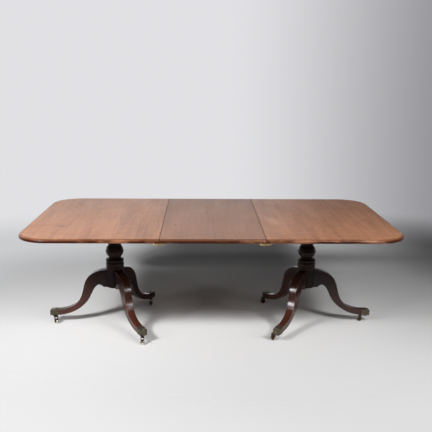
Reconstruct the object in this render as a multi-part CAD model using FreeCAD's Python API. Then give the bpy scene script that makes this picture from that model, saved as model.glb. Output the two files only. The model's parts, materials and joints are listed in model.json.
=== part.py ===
import FreeCAD, Part
import math
import os

# Double pedestal dining table: two ends with rounded corners, each on a turned pillar with three swept
# legs, brass toe caps and castors, and one loose leaf between them that brass clips hold.
# Frame: X along the table, Y away from the front, Z up, origin on the floor under the middle of the top.
# Sizes are millimetres.

V = FreeCAD.Vector
UP = V(0, 0, 1)

# Tops
table_width = 1232.0
end_span = 805.0
leaf_span = 587.0
joint_gap = 0.6
top_thickness = 23.0
corner_radius = 185.0
field_inset = 13.0
quirk_depth = 2.6
nose_radius = 12.0
under_radius = 5.0
field_edge_radius = 0.8

# The most that the edge's roundings may take of the thickness that they lie in, above and below
nose_limit = 0.6
under_limit = 0.3

# Pillar: its place is a share of the end's span from the joint, each height is that of one turned stage,
# and the neck sets the height of the table
pillar_place_share = 0.4025
hub_bottom = 246.0
hub_radius = 55.0
leg_seat_depth = 7.5
leg_depth_at_hub = 115.0
shoulder_ledge = 4.0
band_radius = 57.5
lower_band_height = 19.0
upper_band_height = 19.0
groove_height = 4.0
groove_depth = 3.0
torus_height = 21.0
torus_proud = 6.5
waist_height = 17.0
waist_radius = 39.0
bulb_foot_step = 2.0
bulb_lower_height = 27.0
bulb_ring_height = 11.0
bulb_ring_proud = 4.0
bulb_upper_height = 33.0
bulb_radius = 54.5
neck_length = 102.0
neck_radius = 40.5
collar_height = 22.0
collar_radius = 58.0
tenon_radius = 32.0
tenon_short = 1.0
wedge_thickness = 4.0
wedge_depth = 30.0
wedge_side_gap = 1.0

# Fullness of the turned curves, as shares of their own stage
lower_swell = 0.78
lower_swell_height = 0.45
upper_swell = 0.72
upper_swell_height = 0.6
collar_flare = 0.3
collar_flare_height = 0.6

# Block and bearers under each end
block_side = 230.0
block_height = 42.0
bearer_thickness = 30.0
bearer_from_joint = 45.0
bearer_from_end = 90.0
screw_recess = 18.0
recess_room = 2.0
screw_bite = 12.0
block_screw_inset = 30.0
bearer_screw_count = 3
bearer_screw_inset = 60.0

# Legs: each angle is that between the outer leg and each inner leg
left_leg_angle = 120.0
right_leg_angle = 122.5
leg_reach = 400.0
leg_width_at_hub = 54.0
leg_arris = 2.0
dovetail_depth = 18.0
dovetail_neck = 22.0
dovetail_tail = 30.0
dovetail_stop = 20.0
joinery_gap = 0.1
arch_flat = 28.0
arch_step = 4.0

# The legs' upper and lower lines, as shares of their reach from the hub and of their rise above the toe
leg_top_shares = [(0, 1), (0.198, 0.959), (0.406, 0.777), (0.502, 0.43), (0.627, 0.156), (0.83, 0.037), (1, 0)]
leg_under_shares = [(1, 0), (0.842, 0.036), (0.56, 0.254), (0.354, 0.637), (0.23, 1.016), (0.161, 1.085)]

# Strap under the hub
strap_thickness = 3.0
strap_width = 16.0
strap_end_margin = 5.5
strap_disc_radius = 20.0
strap_screw_inset = 9.0

# Toe caps
cap_length = 50.0
cap_width = 44.0
cap_height = 39.0
cap_end_height = 34.0
cap_wall = 2.5
cap_proud = 1.5
cap_corner = 4.0
cap_pin_radius = 1.5
cap_pin_length = 9.0

# Castors
wheel_radius = 16.5
wheel_width = 14.0
wheel_hub_radius = 6.5
wheel_edge = 3.0
wheel_web_inset = 2.0
wheel_rim = 4.5
wheel_side_gap = 0.3
wheel_head_room = 10.2
fork_plate = 5.0
fork_cheek = 3.2
fork_eye_radius = 7.0
fork_root_share = 2.2
fork_bend_share = 0.62
castor_trail = 34.0
swivel_boss_height = 3.0
swivel_boss_radius = 13.0
swivel_gap = 0.3
axle_radius = 3.0
axle_head_radius = 4.6
axle_head_height = 1.4
axle_fit = 0.02
running_clearance = 0.05
pintle_radius = 4.5
pintle_grip = 25.0
pintle_head_radius = 7.5
pintle_head_height = 3.0

# Leaf clips, the sockets under the ends and the open keepers under the leaf
clip_thickness = 6.0
tine_width = 14.0
tine_length = 95.0
tine_tip_radius = 4.0
clip_setback = 2.0
clip_clearance = 0.3
socket_from_joint = 3.7
socket_roof = 5.0
socket_floor = 3.0
socket_wall = 6.0
socket_length = 60.0
socket_start = 60.0
socket_ear = 12.0
socket_ear_thickness = 4.0
socket_screw_inset = 10.0

# Screws
wood_screw_radius = 2.5
wood_screw_head = 5.0
wood_screw_head_height = 2.5
small_screw_radius = 1.6
small_screw_head = 3.2
small_screw_head_height = 1.6
small_screw_length = 12.0
hub_screw_radius = 4.0
hub_screw_head = 8.0
hub_screw_head_height = 4.0
hub_screw_length = 40.0
strap_screw_length = 25.0
screw_hole_gap = 0.1
screw_tip_gap = 1.0
head_round_share = 0.8
slot_depth_share = 0.45
slot_width = 1.2

# How near two places must be to count as the same
touch = 1e-3

# Which way each castor trails when the table stands, in degrees from +X
castor_heading = {
    "left_outer": -62.0,
    "left_front": -84.0,
    "left_back": -85.0,
    "right_outer": 160.0,
    "right_front": 133.0,
    "right_back": 140.0,
}

# Heights and places that follow from the sizes above
table_length = leaf_span + 2 * (joint_gap + end_span)
joint_x = leaf_span / 2
joint_middle = joint_x + joint_gap / 2
pillar_from_joint = pillar_place_share * end_span
pillar_x = joint_x + joint_gap + pillar_from_joint
hub_flat = hub_radius - leg_seat_depth
leg_top = hub_bottom + leg_depth_at_hub
band_bottom = leg_top + shoulder_ledge
torus_bottom = band_bottom + lower_band_height + upper_band_height + 2 * groove_height
torus_top = torus_bottom + torus_height
bulb_bottom = torus_top + waist_height
ring_bottom = bulb_bottom + bulb_lower_height
ring_top = ring_bottom + bulb_ring_height
bulb_top = ring_top + bulb_upper_height
collar_bottom = bulb_top + neck_length
block_bottom = collar_bottom + collar_height
underside = block_bottom + block_height
table_height = underside + top_thickness
fork_bottom = 2 * wheel_radius + wheel_head_room
fork_top = fork_bottom + fork_plate
castor_height = fork_top + swivel_gap + swivel_boss_height
cap_mouth = leg_reach - cap_length / 2
cap_end = leg_reach + cap_length / 2
toe_bottom = castor_height + cap_proud
toe_top = castor_height + cap_height - cap_proud
leg_width_at_toe = cap_width - 2 * cap_proud
strap_reach = hub_flat + arch_flat - strap_end_margin
strap_screw_reach = strap_reach - strap_screw_inset
hub_length = wheel_width + 2 * wheel_side_gap
fork_width = hub_length + 2 * wheel_side_gap + 2 * fork_cheek
holder_half = tine_width / 2 + clip_clearance + socket_wall
tine_offset = socket_from_joint + socket_ear + holder_half
clip_bow_radius = tine_offset + tine_width / 2
clip_top = underside - socket_roof - clip_clearance
clip_bottom = clip_top - clip_thickness
bow_centre = -table_width / 2 + clip_setback + clip_bow_radius
socket_middle = -table_width / 2 + socket_start + socket_length / 2
ear_seat = underside - socket_ear_thickness
bearer_y = block_side / 2 + bearer_thickness / 2
bearer_low_x = bearer_from_joint - pillar_from_joint
bearer_high_x = end_span - pillar_from_joint - bearer_from_end
screw_seat = block_bottom + screw_recess
screw_length = block_height - screw_recess + screw_bite

SIDES = {"left": -1, "right": 1}
inner_leg_angle = {"left": left_leg_angle, "right": right_leg_angle}
DEPTHS = ("front", "back")


def export(name, shape):
    """Writes one node's solids to its STEP file."""
    shape.exportStep("parts/" + name + ".step")


def line(start, end):
    """A straight edge."""
    return Part.LineSegment(start, end)


def arc(start, middle, end):
    """A round edge through three points."""
    return Part.Arc(start, middle, end)


def smooth(points, start_way, end_way):
    """A smooth curve through points, with its direction given at both ends."""
    curve = Part.BSplineCurve()
    curve.interpolate(Points=points, InitialTangent=start_way, FinalTangent=end_way)
    return curve


def loop(corners):
    """Straight edges from corner to corner and back to the first."""
    return [line(corner, corners[(index + 1) % len(corners)]) for index, corner in enumerate(corners)]


def joined(curves):
    """The wire of curves that follow one another."""
    return Part.Wire([curve.toShape() for curve in curves])


def flat_face(curves):
    """A flat face inside curves that follow one another."""
    return Part.Face(joined(curves))


def placed(shape, x, y, turn):
    """A copy turned about the upright axis and then moved along the floor."""
    copy = shape.copy()
    copy.rotate(V(0, 0, 0), UP, turn)
    copy.translate(V(x, y, 0))
    return copy


def upright_cylinder(radius, low, high, x=0.0, y=0.0):
    """A cylinder between two heights."""
    return Part.makeCylinder(radius, high - low, V(x, y, low), UP)


def centred_box(length, width, low, high, x=0.0, y=0.0):
    """A box between two heights, centred over a point of the floor."""
    return Part.makeBox(length, width, high - low, V(x - length / 2, y - width / 2, low))


def edges_at(shape, height):
    """The edges that lie wholly at one height."""
    flat = []
    for edge in shape.Edges:
        box = edge.BoundBox
        if abs(box.ZMin - height) < 1e-4 and abs(box.ZMax - height) < 1e-4:
            flat.append(edge)
    return flat


def upright_edges(shape):
    """The edges that run straight up."""
    found = []
    for edge in shape.Edges:
        box = edge.BoundBox
        if box.XLength < 1e-4 and box.YLength < 1e-4:
            found.append(edge)
    return found


def screw(x, y, seat, length, radius, head_radius, head_height):
    """A slotted round-head screw driven upwards, with its head under the seat."""
    low = seat - head_height
    head = upright_cylinder(head_radius, low, seat, x, y)
    head = head.makeFillet(head_height * head_round_share, edges_at(head, low))
    shank = upright_cylinder(radius, seat, seat + length, x, y)
    slot = centred_box(2 * head_radius, slot_width, low, low + head_height * slot_depth_share, x, y)
    return head.fuse(shank).cut(slot).removeSplitter()


def screw_hole(x, y, seat, length, radius):
    """The hole that such a screw turns into."""
    return upright_cylinder(radius + screw_hole_gap, seat, seat + length + screw_tip_gap, x, y)


# Tops
def rounded_slab(inset, low, high):
    """The whole top's outline, drawn in from its edge, between two heights."""
    slab = centred_box(table_length - 2 * inset, table_width - 2 * inset, low, high)
    return slab.makeFillet(corner_radius - inset, upright_edges(slab))


def moulded_top():
    """The whole top in one piece: a thumb-moulded edge round a slightly raised field."""
    shelf = table_height - quirk_depth
    depth = shelf - underside
    slab = rounded_slab(0.0, underside, shelf)
    slab = slab.makeFillet(min(nose_radius, nose_limit * depth), edges_at(slab, shelf))
    slab = slab.makeFillet(min(under_radius, under_limit * depth), edges_at(slab, underside))
    field = rounded_slab(field_inset, underside + depth / 2, table_height)
    field = field.makeFillet(min(field_edge_radius, nose_limit * quirk_depth), edges_at(field, table_height))
    return slab.fuse(field).removeSplitter()


def top_piece(whole, low_x, high_x):
    """The stretch of the top between two places along the table."""
    stretch = centred_box(high_x - low_x, 2 * table_width, 0, 2 * table_height, (low_x + high_x) / 2)
    return whole.common(stretch)


# Block and bearers, for an end whose pillar stands at the origin and whose joint is towards -X
def bearer_screw_places(y):
    """Where the screws go up through the bearer that lies at y."""
    first = bearer_low_x + bearer_screw_inset
    step = (bearer_high_x - bearer_screw_inset - first) / (bearer_screw_count - 1)
    return [(first + step * index, y) for index in range(bearer_screw_count)]


def block_screw_places():
    """Where the screws go up through the corners of the block."""
    reach = block_side / 2 - block_screw_inset
    return [(x, y) for x in (-reach, reach) for y in (-reach, reach)]


def top_screw_places():
    """Every screw that goes up into one end of the top."""
    return bearer_screw_places(-bearer_y) + bearer_screw_places(bearer_y) + block_screw_places()


def recessed_holes(places):
    """The screw holes with the wider recess below each."""
    holes = []
    for x, y in places:
        holes.append(screw_hole(x, y, screw_seat, screw_length, wood_screw_radius))
        holes.append(upright_cylinder(wood_screw_head + recess_room, block_bottom, screw_seat, x, y))
    return holes


def bearer(y):
    """One bearer beside the block, running along the table."""
    middle = (bearer_low_x + bearer_high_x) / 2
    rail = centred_box(bearer_high_x - bearer_low_x, bearer_thickness, block_bottom, underside, middle, y)
    return rail.cut(recessed_holes(bearer_screw_places(y)))


def pillar_block():
    """The block between the bearers that takes the pillar's tenon."""
    block = centred_box(block_side, block_side, block_bottom, underside)
    tenon_hole = upright_cylinder(tenon_radius + joinery_gap, block_bottom, underside)
    return block.cut([tenon_hole] + recessed_holes(block_screw_places()))


# Pillar
def between(low, high, share):
    """The value that lies a share of the way from low to high."""
    return low + share * (high - low)


def pillar_profile():
    """Half the pillar's outline, from the hub's foot to the top of the tenon."""
    def at(radius, height):
        return V(radius, 0, height)

    lower_groove = band_bottom + lower_band_height
    upper_groove = torus_bottom - groove_height
    groove_floor = band_radius - groove_depth
    torus_foot = band_radius - torus_proud
    bulb_foot = waist_radius + bulb_foot_step
    tenon_top = underside - tenon_short
    lower_bulge = at(between(bulb_foot, bulb_radius, lower_swell),
                     between(bulb_bottom, ring_bottom, lower_swell_height))
    upper_bulge = at(between(neck_radius, bulb_radius, upper_swell),
                     between(ring_top, bulb_top, upper_swell_height))
    flare = at(between(neck_radius, collar_radius, collar_flare),
               between(collar_bottom, block_bottom, collar_flare_height))
    ring_middle = at(bulb_radius + bulb_ring_proud, (ring_bottom + ring_top) / 2)
    return [
        line(at(0, hub_bottom), at(hub_radius, hub_bottom)),
        line(at(hub_radius, hub_bottom), at(hub_radius, band_bottom)),
        line(at(hub_radius, band_bottom), at(band_radius, band_bottom)),
        line(at(band_radius, band_bottom), at(band_radius, lower_groove)),
        arc(at(band_radius, lower_groove), at(groove_floor, lower_groove + groove_height / 2),
            at(band_radius, lower_groove + groove_height)),
        line(at(band_radius, lower_groove + groove_height), at(band_radius, upper_groove)),
        line(at(band_radius, upper_groove), at(torus_foot, upper_groove)),
        line(at(torus_foot, upper_groove), at(torus_foot, torus_bottom)),
        arc(at(torus_foot, torus_bottom), at(band_radius, (torus_bottom + torus_top) / 2),
            at(torus_foot, torus_top)),
        arc(at(torus_foot, torus_top), at(waist_radius, (torus_top + bulb_bottom) / 2),
            at(bulb_foot, bulb_bottom)),
        arc(at(bulb_foot, bulb_bottom), lower_bulge, at(bulb_radius, ring_bottom)),
        arc(at(bulb_radius, ring_bottom), ring_middle, at(bulb_radius, ring_top)),
        arc(at(bulb_radius, ring_top), upper_bulge, at(neck_radius, bulb_top)),
        line(at(neck_radius, bulb_top), at(neck_radius, collar_bottom)),
        arc(at(neck_radius, collar_bottom), flare, at(collar_radius, block_bottom)),
        line(at(collar_radius, block_bottom), at(tenon_radius, block_bottom)),
        line(at(tenon_radius, block_bottom), at(tenon_radius, tenon_top)),
        line(at(tenon_radius, tenon_top), at(0, tenon_top)),
        line(at(0, tenon_top), at(0, hub_bottom)),
    ]


def dovetail(gap):
    """The upright dovetail on a leg's inner end, or its slot when a gap is given."""
    inner = hub_flat - dovetail_depth - gap
    neck = dovetail_neck / 2 + gap
    tail = dovetail_tail / 2 + gap
    corners = [V(hub_flat, -neck, hub_bottom), V(inner, -tail, hub_bottom)]
    corners += [V(inner, tail, hub_bottom), V(hub_flat, neck, hub_bottom)]
    return flat_face(loop(corners)).extrude(V(0, 0, leg_depth_at_hub - dovetail_stop + gap))


def leg_turns(side_name):
    """The turns of the outer leg and the two inner legs, with the outer leg along +X."""
    inner = inner_leg_angle[side_name]
    return (0.0, inner, -inner)


def hub_cuts(turns):
    """What is cut from the hub for the legs: a flat and a dovetail slot for each."""
    flat = Part.makeBox(hub_radius, 2 * hub_radius, leg_depth_at_hub, V(hub_flat, -hub_radius, hub_bottom))
    cuts = []
    for turn in turns:
        cuts.append(placed(flat, 0, 0, turn))
        cuts.append(placed(dovetail(joinery_gap), 0, 0, turn))
    return cuts


def tenon_wedge():
    """The wedge that spreads the tenon in the block."""
    top = underside - tenon_short
    half = math.sqrt(tenon_radius ** 2 - wedge_thickness ** 2) - wedge_side_gap
    return centred_box(2 * half, wedge_thickness, top - wedge_depth, top)


def pillar(turns):
    """The turned pillar with its flats, slots, wedge kerf and screw hole."""
    turned = flat_face(pillar_profile()).revolve(V(0, 0, 0), UP, 360)
    bolt_hole = screw_hole(0, 0, hub_bottom, hub_screw_length, hub_screw_radius)
    return turned.cut(hub_cuts(turns) + [tenon_wedge(), bolt_hole])


# Legs, drawn with the pillar at the origin and the leg along +X
def leg_side(side):
    """The outline of one side of a leg, from its shoulder to the mouth of its toe cap.

    The side stands at the slant that narrows the leg from its shoulder to its toe.
    """
    slant = (leg_width_at_toe - leg_width_at_hub) / 2 / (cap_mouth - hub_flat)

    def at(x, z):
        return V(x, side * (leg_width_at_hub / 2 + slant * (x - hub_flat)), z)

    def way(along, up):
        return V(along, side * slant * along, up)

    def shared(shares, low, high):
        return [at(between(hub_flat, cap_mouth, along), between(low, high, up)) for along, up in shares]

    cusp = at(hub_flat + arch_flat, hub_bottom + arch_step)
    foot = at(hub_flat + arch_flat, hub_bottom)
    shoulder = at(hub_flat, hub_bottom)
    top_line = shared(leg_top_shares, toe_top, leg_top)
    under_line = shared(leg_under_shares, toe_bottom, hub_bottom) + [cusp]
    return joined([
        smooth(top_line, way(1, -0.06), way(1, -0.12)),
        line(top_line[-1], under_line[0]),
        smooth(under_line, way(-1, 0.06), way(-1, -0.45)),
        line(cusp, foot),
        line(foot, shoulder),
        line(shoulder, top_line[0]),
    ])


def side_solid(curves, width):
    """A side view made solid, with the given width about the leg's middle."""
    face = flat_face(curves)
    face.translate(V(0, -width / 2, 0))
    return face.extrude(V(0, width, 0))


def cap_side(margin):
    """The side view of a toe cap, drawn in by a margin on every side but its mouth."""
    far = cap_end - margin
    slope = (cap_height - cap_end_height) / cap_length
    low = castor_height + margin
    high = castor_height + cap_height - margin
    far_high = high - slope * (far - cap_mouth)
    return loop([V(cap_mouth, 0, low), V(far, 0, low), V(far, 0, far_high), V(cap_mouth, 0, high)])


def long_top_edges(shape):
    """The two long upper arrises of a leg."""
    found = []
    for edge in shape.Edges:
        box = edge.BoundBox
        if box.XLength > (cap_mouth - hub_flat) / 2 and box.ZMax > leg_top - leg_arris:
            found.append(edge)
    return found


def leg():
    """One leg: swept shape with eased arrises, dovetail at the hub and toe inside the cap."""
    swept = Part.makeLoft([leg_side(-1), leg_side(1)], True, True)
    swept = swept.makeFillet(leg_arris, long_top_edges(swept))
    toe_margin = cap_wall + joinery_gap
    toe = side_solid(cap_side(toe_margin), cap_width - 2 * toe_margin)
    whole = swept.fuse([dovetail(0.0), toe]).removeSplitter()
    holes = [screw_hole(leg_reach, 0, castor_height, pintle_grip, pintle_radius)]
    holes.append(screw_hole(strap_screw_reach, 0, hub_bottom, strap_screw_length, wood_screw_radius))
    return whole.cut(holes + [pin_hole(side) for side in (-1, 1)])


# Toe caps, in the same place as the leg
def pin_seat(side):
    """The middle of one of the toe cap's side faces, where a pin goes in."""
    return V(leg_reach, side * cap_width / 2, castor_height + cap_end_height / 2)


def pin_hole(side):
    """The hole for one of the toe cap's pins."""
    radius = cap_pin_radius + screw_hole_gap
    return Part.makeCylinder(radius, cap_pin_length + screw_tip_gap, pin_seat(side), V(0, -side, 0))


def cap_pin(side):
    """One of the two round-headed pins that hold a toe cap."""
    head = Part.makeSphere(2 * cap_pin_radius, pin_seat(side), V(0, side, 0), 0, 90, 360)
    shank = Part.makeCylinder(cap_pin_radius, cap_pin_length, pin_seat(side), V(0, -side, 0))
    return head.fuse(shank).removeSplitter()


def toe_cap():
    """The brass box on a toe, with the boss that its castor turns against."""
    box = side_solid(cap_side(0.0), cap_width)
    far_edges = []
    for edge in box.Edges:
        bounds = edge.BoundBox
        if bounds.XMin > cap_end - touch and bounds.ZMax > castor_height + touch:
            far_edges.append(edge)
    box = box.makeFillet(cap_corner, far_edges)
    hollow = side_solid(cap_side(cap_wall), cap_width - 2 * cap_wall)
    boss = upright_cylinder(swivel_boss_radius, castor_height - swivel_boss_height, castor_height, leg_reach)
    hole = upright_cylinder(pintle_radius + joinery_gap, 0, castor_height + cap_wall, leg_reach)
    return box.cut(hollow).fuse(boss).removeSplitter().cut([hole] + [pin_hole(side) for side in (-1, 1)])


# Castors, drawn with the pintle at the origin and the wheel trailing along +X
def pintle():
    """The pin that a castor turns on, riveted over under the fork and driven into the toe."""
    head_top = fork_bottom - swivel_gap
    head_low = head_top - pintle_head_height
    head = upright_cylinder(pintle_head_radius, head_low, head_top)
    head = head.makeFillet(pintle_head_height * head_round_share, edges_at(head, head_low))
    return head.fuse(upright_cylinder(pintle_radius, head_top, castor_height + pintle_grip)).removeSplitter()


def axle_cylinder(radius, length):
    """A cylinder along the axle, centred on the wheel."""
    return Part.makeCylinder(radius, length, V(castor_trail, -length / 2, wheel_radius), V(0, 1, 0))


def fork_cheek_solid(inner_y):
    """One cheek of the fork, from the plate down round the axle."""
    def at(x, z):
        return V(x, inner_y, z)

    near = castor_trail - fork_eye_radius
    far = castor_trail + fork_eye_radius
    root = castor_trail - fork_root_share * fork_eye_radius
    bend = at(between(root, near, fork_bend_share), (fork_top + wheel_radius) / 2)
    outline = [
        line(at(root, fork_top), at(far, fork_top)),
        line(at(far, fork_top), at(far, wheel_radius)),
        arc(at(far, wheel_radius), at(castor_trail, wheel_radius - fork_eye_radius), at(near, wheel_radius)),
        arc(at(near, wheel_radius), bend, at(root, fork_top)),
    ]
    return flat_face(outline).extrude(V(0, fork_cheek, 0))


def castor_fork():
    """The fork: a round plate on the pintle and two cheeks that hold the axle."""
    disc = upright_cylinder(swivel_boss_radius, fork_bottom, fork_top)
    reach = castor_trail + fork_eye_radius
    tongue = centred_box(reach, fork_width, fork_bottom, fork_top, reach / 2)
    cheeks = [fork_cheek_solid(-fork_width / 2), fork_cheek_solid(fork_width / 2 - fork_cheek)]
    solid = disc.fuse([tongue] + cheeks).removeSplitter()
    bore = upright_cylinder(pintle_radius + running_clearance, 0, castor_height)
    return solid.cut([bore, axle_cylinder(axle_radius + axle_fit, 2 * fork_width)])


def castor_axle():
    """The axle with its two riveted ends."""
    heads = axle_cylinder(axle_head_radius, fork_width + 2 * axle_head_height)
    heads = heads.cut(axle_cylinder(2 * axle_head_radius, fork_width))
    return axle_cylinder(axle_radius, fork_width + axle_head_height).fuse(heads).removeSplitter()


def castor_wheel():
    """The wheel: crowned rim, thinner web and a hub that keeps it clear of the cheeks."""
    tyre = axle_cylinder(wheel_radius, wheel_width)
    rims = [edge for edge in tyre.Edges if edge.Curve.TypeId == "Part::GeomCircle"]
    tyre = tyre.makeFillet(wheel_edge, rims)
    inside = wheel_radius - wheel_rim
    sink = axle_cylinder(inside, wheel_width).cut(axle_cylinder(inside, wheel_width - 2 * wheel_web_inset))
    hub = axle_cylinder(wheel_hub_radius, hub_length)
    bore = axle_cylinder(axle_radius + running_clearance, 2 * hub_length)
    return tyre.cut(sink).fuse(hub).removeSplitter().cut(bore)


# Strap under the hub
def hub_strap(turns):
    """The iron strap that ties the three legs to the foot of the pillar."""
    low = hub_bottom - strap_thickness
    disc = upright_cylinder(strap_disc_radius, low, hub_bottom)
    arm = centred_box(strap_reach, strap_width, low, hub_bottom, strap_reach / 2)
    arm_hole = screw_hole(strap_screw_reach, 0, low, strap_thickness, wood_screw_radius)
    arms = [placed(arm, 0, 0, turn) for turn in turns]
    holes = [placed(arm_hole, 0, 0, turn) for turn in turns]
    holes.append(screw_hole(0, 0, low, strap_thickness, hub_screw_radius))
    return disc.fuse(arms).removeSplitter().cut(holes)


def strap_screws(turns):
    """The middle screw into the pillar and one into each leg."""
    seat = hub_bottom - strap_thickness
    middle = screw(0, 0, seat, hub_screw_length, hub_screw_radius, hub_screw_head, hub_screw_head_height)
    into_leg = screw(strap_screw_reach, 0, seat, strap_screw_length, wood_screw_radius, wood_screw_head,
                     wood_screw_head_height)
    return [middle] + [placed(into_leg, 0, 0, turn) for turn in turns]


# Leaf clips, drawn at the front edge with the joint on the Y axis
def leaf_clip():
    """A flat brass clip bent to a U, with a tine on each side of the joint."""
    outer = clip_bow_radius
    inner = clip_bow_radius - tine_width
    tip = bow_centre + tine_length

    def at(x, y):
        return V(x, y, clip_bottom)

    outline = [
        arc(at(-outer, bow_centre), at(0, bow_centre - outer), at(outer, bow_centre)),
        line(at(outer, bow_centre), at(outer, tip)),
        line(at(outer, tip), at(inner, tip)),
        line(at(inner, tip), at(inner, bow_centre)),
        arc(at(inner, bow_centre), at(0, bow_centre - inner), at(-inner, bow_centre)),
        line(at(-inner, bow_centre), at(-inner, tip)),
        line(at(-inner, tip), at(-outer, tip)),
        line(at(-outer, tip), at(-outer, bow_centre)),
    ]
    flat = flat_face(outline).extrude(V(0, 0, clip_thickness))
    tips = [edge for edge in upright_edges(flat) if edge.BoundBox.YMin > tip - touch]
    return flat.makeFillet(tine_tip_radius, tips)


def holder_screw_places(side):
    """Where the screws go up through the ears of a socket or keeper."""
    across = holder_half + socket_ear / 2
    along = socket_length / 2 - socket_screw_inset
    middle = side * tine_offset
    return [(middle + dx, socket_middle + dy) for dx in (-across, across) for dy in (-along, along)]


def holder_screws(side):
    """The screws of one socket or keeper."""
    screws = []
    for x, y in holder_screw_places(side):
        screws.append(screw(x, y, ear_seat, small_screw_length, small_screw_radius, small_screw_head,
                            small_screw_head_height))
    return screws


def holder_screw_holes(side):
    """The holes for those screws."""
    places = holder_screw_places(side)
    return [screw_hole(x, y, ear_seat, small_screw_length, small_screw_radius) for x, y in places]


def tine_holder(side, low):
    """A block round a tine, reaching down to low, with a screwed ear on each side."""
    x = side * tine_offset
    block = centred_box(2 * holder_half, socket_length, low, underside, x, socket_middle)
    ears = centred_box(2 * (holder_half + socket_ear), socket_length, ear_seat, underside, x, socket_middle)
    slot = centred_box(tine_width + 2 * clip_clearance, 2 * socket_length, clip_bottom - clip_clearance,
                       clip_top + clip_clearance, x, socket_middle)
    return block.fuse(ears).removeSplitter().cut([slot] + holder_screw_holes(side))


def clip_socket(side):
    """A closed socket under an end of the table, which a tine slides into."""
    return tine_holder(side, clip_bottom - clip_clearance - socket_floor)


def leaf_keeper(side):
    """A keeper under the leaf: open below, so that the leaf rests on the tine and lifts off it."""
    return tine_holder(side, clip_bottom - clip_clearance)


def at_joint(shape, side, depth):
    """A copy of a front clip piece at one joint, turned round for the back edge."""
    return placed(shape, side * joint_middle, 0, 180 if depth == "back" else 0)


def tine_under_end(side, depth):
    """Which tine of a clip, as drawn at the front, lies under the end at one joint."""
    return side if depth == "front" else -side


def end_turn(side):
    """The turn that brings an end drawn with its joint towards -X to its side of the table."""
    return 0.0 if side > 0 else 180.0


def named_leg_turns(side_name):
    """Each leg's name and turn on its side of the table, its outer leg first."""
    side = SIDES[side_name]
    order = ("outer", "back", "front") if side > 0 else ("outer", "front", "back")
    turns = leg_turns(side_name)
    return [(side_name + "_" + name, end_turn(side) + turn) for name, turn in zip(order, turns)]


def build_tops():
    """The two ends and the leaf, with the screw holes in their undersides."""
    whole = moulded_top()
    leaf_holes = []
    for side_name, side in SIDES.items():
        near = side * (joint_x + joint_gap)
        far = near + side * end_span
        end = top_piece(whole, min(near, far), max(near, far))
        holes = []
        for x, y in top_screw_places():
            hole = screw_hole(x, y, screw_seat, screw_length, wood_screw_radius)
            holes.append(placed(hole, side * pillar_x, 0, end_turn(side)))
        for depth in DEPTHS:
            tine = tine_under_end(side, depth)
            holes += [at_joint(hole, side, depth) for hole in holder_screw_holes(tine)]
            leaf_holes += [at_joint(hole, side, depth) for hole in holder_screw_holes(-tine)]
        export(side_name + "_end_top", end.cut(holes))
    export("leaf", top_piece(whole, -joint_x, joint_x).cut(leaf_holes))


def build_pedestals():
    """Both pedestals: pillars, blocks, bearers, legs, straps and their fasteners."""
    block = pillar_block()
    one_leg = leg()
    cap = toe_cap()
    wedges = []
    top_screws = []
    under_screws = []
    pins = []
    for side_name, side in SIDES.items():
        x = side * pillar_x
        turn = end_turn(side)
        turns = leg_turns(side_name)
        export(side_name + "_pillar", placed(pillar(turns), x, 0, turn))
        export(side_name + "_block", placed(block, x, 0, turn))
        export(side_name + "_strap", placed(hub_strap(turns), x, 0, turn))
        export(side_name + "_front_bearer", placed(bearer(-side * bearer_y), x, 0, turn))
        export(side_name + "_back_bearer", placed(bearer(side * bearer_y), x, 0, turn))
        wedges.append(placed(tenon_wedge(), x, 0, turn))
        for place_x, place_y in top_screw_places():
            fixing = screw(place_x, place_y, screw_seat, screw_length, wood_screw_radius, wood_screw_head,
                           wood_screw_head_height)
            top_screws.append(placed(fixing, x, 0, turn))
        under_screws += [placed(fixing, x, 0, turn) for fixing in strap_screws(turns)]
        for name, leg_turn in named_leg_turns(side_name):
            export(name + "_leg", placed(one_leg, x, 0, leg_turn))
            export(name + "_toe_cap", placed(cap, x, 0, leg_turn))
            pins += [placed(cap_pin(pin_side), x, 0, leg_turn) for pin_side in (-1, 1)]
    export("tenon_wedges", Part.makeCompound(wedges))
    export("top_screws", Part.makeCompound(top_screws))
    export("strap_screws", Part.makeCompound(under_screws))
    export("toe_cap_pins", Part.makeCompound(pins))


def build_castors():
    """A fork, wheel and axle under each toe, and the pintles that they turn on."""
    pieces = {"fork": castor_fork(), "wheel": castor_wheel(), "axle": castor_axle()}
    pintles = []
    for side_name, side in SIDES.items():
        for name, leg_turn in named_leg_turns(side_name):
            x = side * pillar_x + leg_reach * math.cos(math.radians(leg_turn))
            y = leg_reach * math.sin(math.radians(leg_turn))
            for kind, shape in pieces.items():
                export(name + "_castor_" + kind, placed(shape, x, y, castor_heading[name]))
            pintles.append(placed(pintle(), x, y, 0))
            print(name, "castor turns at", round(x, 4), round(y, 4), "and trails to", castor_heading[name])
    export("castor_pintles", Part.makeCompound(pintles))


def build_clips():
    """The clips at both ends of both joints, with the sockets, keepers and screws that hold them."""
    keepers = []
    socket_screws = []
    keeper_screws = []
    for side_name, side in SIDES.items():
        for depth in DEPTHS:
            name = side_name + "_" + depth
            tine = tine_under_end(side, depth)
            export(name + "_clip", at_joint(leaf_clip(), side, depth))
            export(name + "_clip_socket", at_joint(clip_socket(tine), side, depth))
            keepers.append(at_joint(leaf_keeper(-tine), side, depth))
            socket_screws += [at_joint(fixing, side, depth) for fixing in holder_screws(tine)]
            keeper_screws += [at_joint(fixing, side, depth) for fixing in holder_screws(-tine)]
    export("leaf_keepers", Part.makeCompound(keepers))
    export("socket_screws", Part.makeCompound(socket_screws))
    export("keeper_screws", Part.makeCompound(keeper_screws))


os.makedirs("parts", exist_ok=True)
build_tops()
build_pedestals()
build_castors()
build_clips()
print("table", round(table_length, 2), "by", table_width, "by", round(table_height, 2), "high")
print("pillars at", round(pillar_x, 2), "trail", castor_trail, "axle height", wheel_radius)
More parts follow.
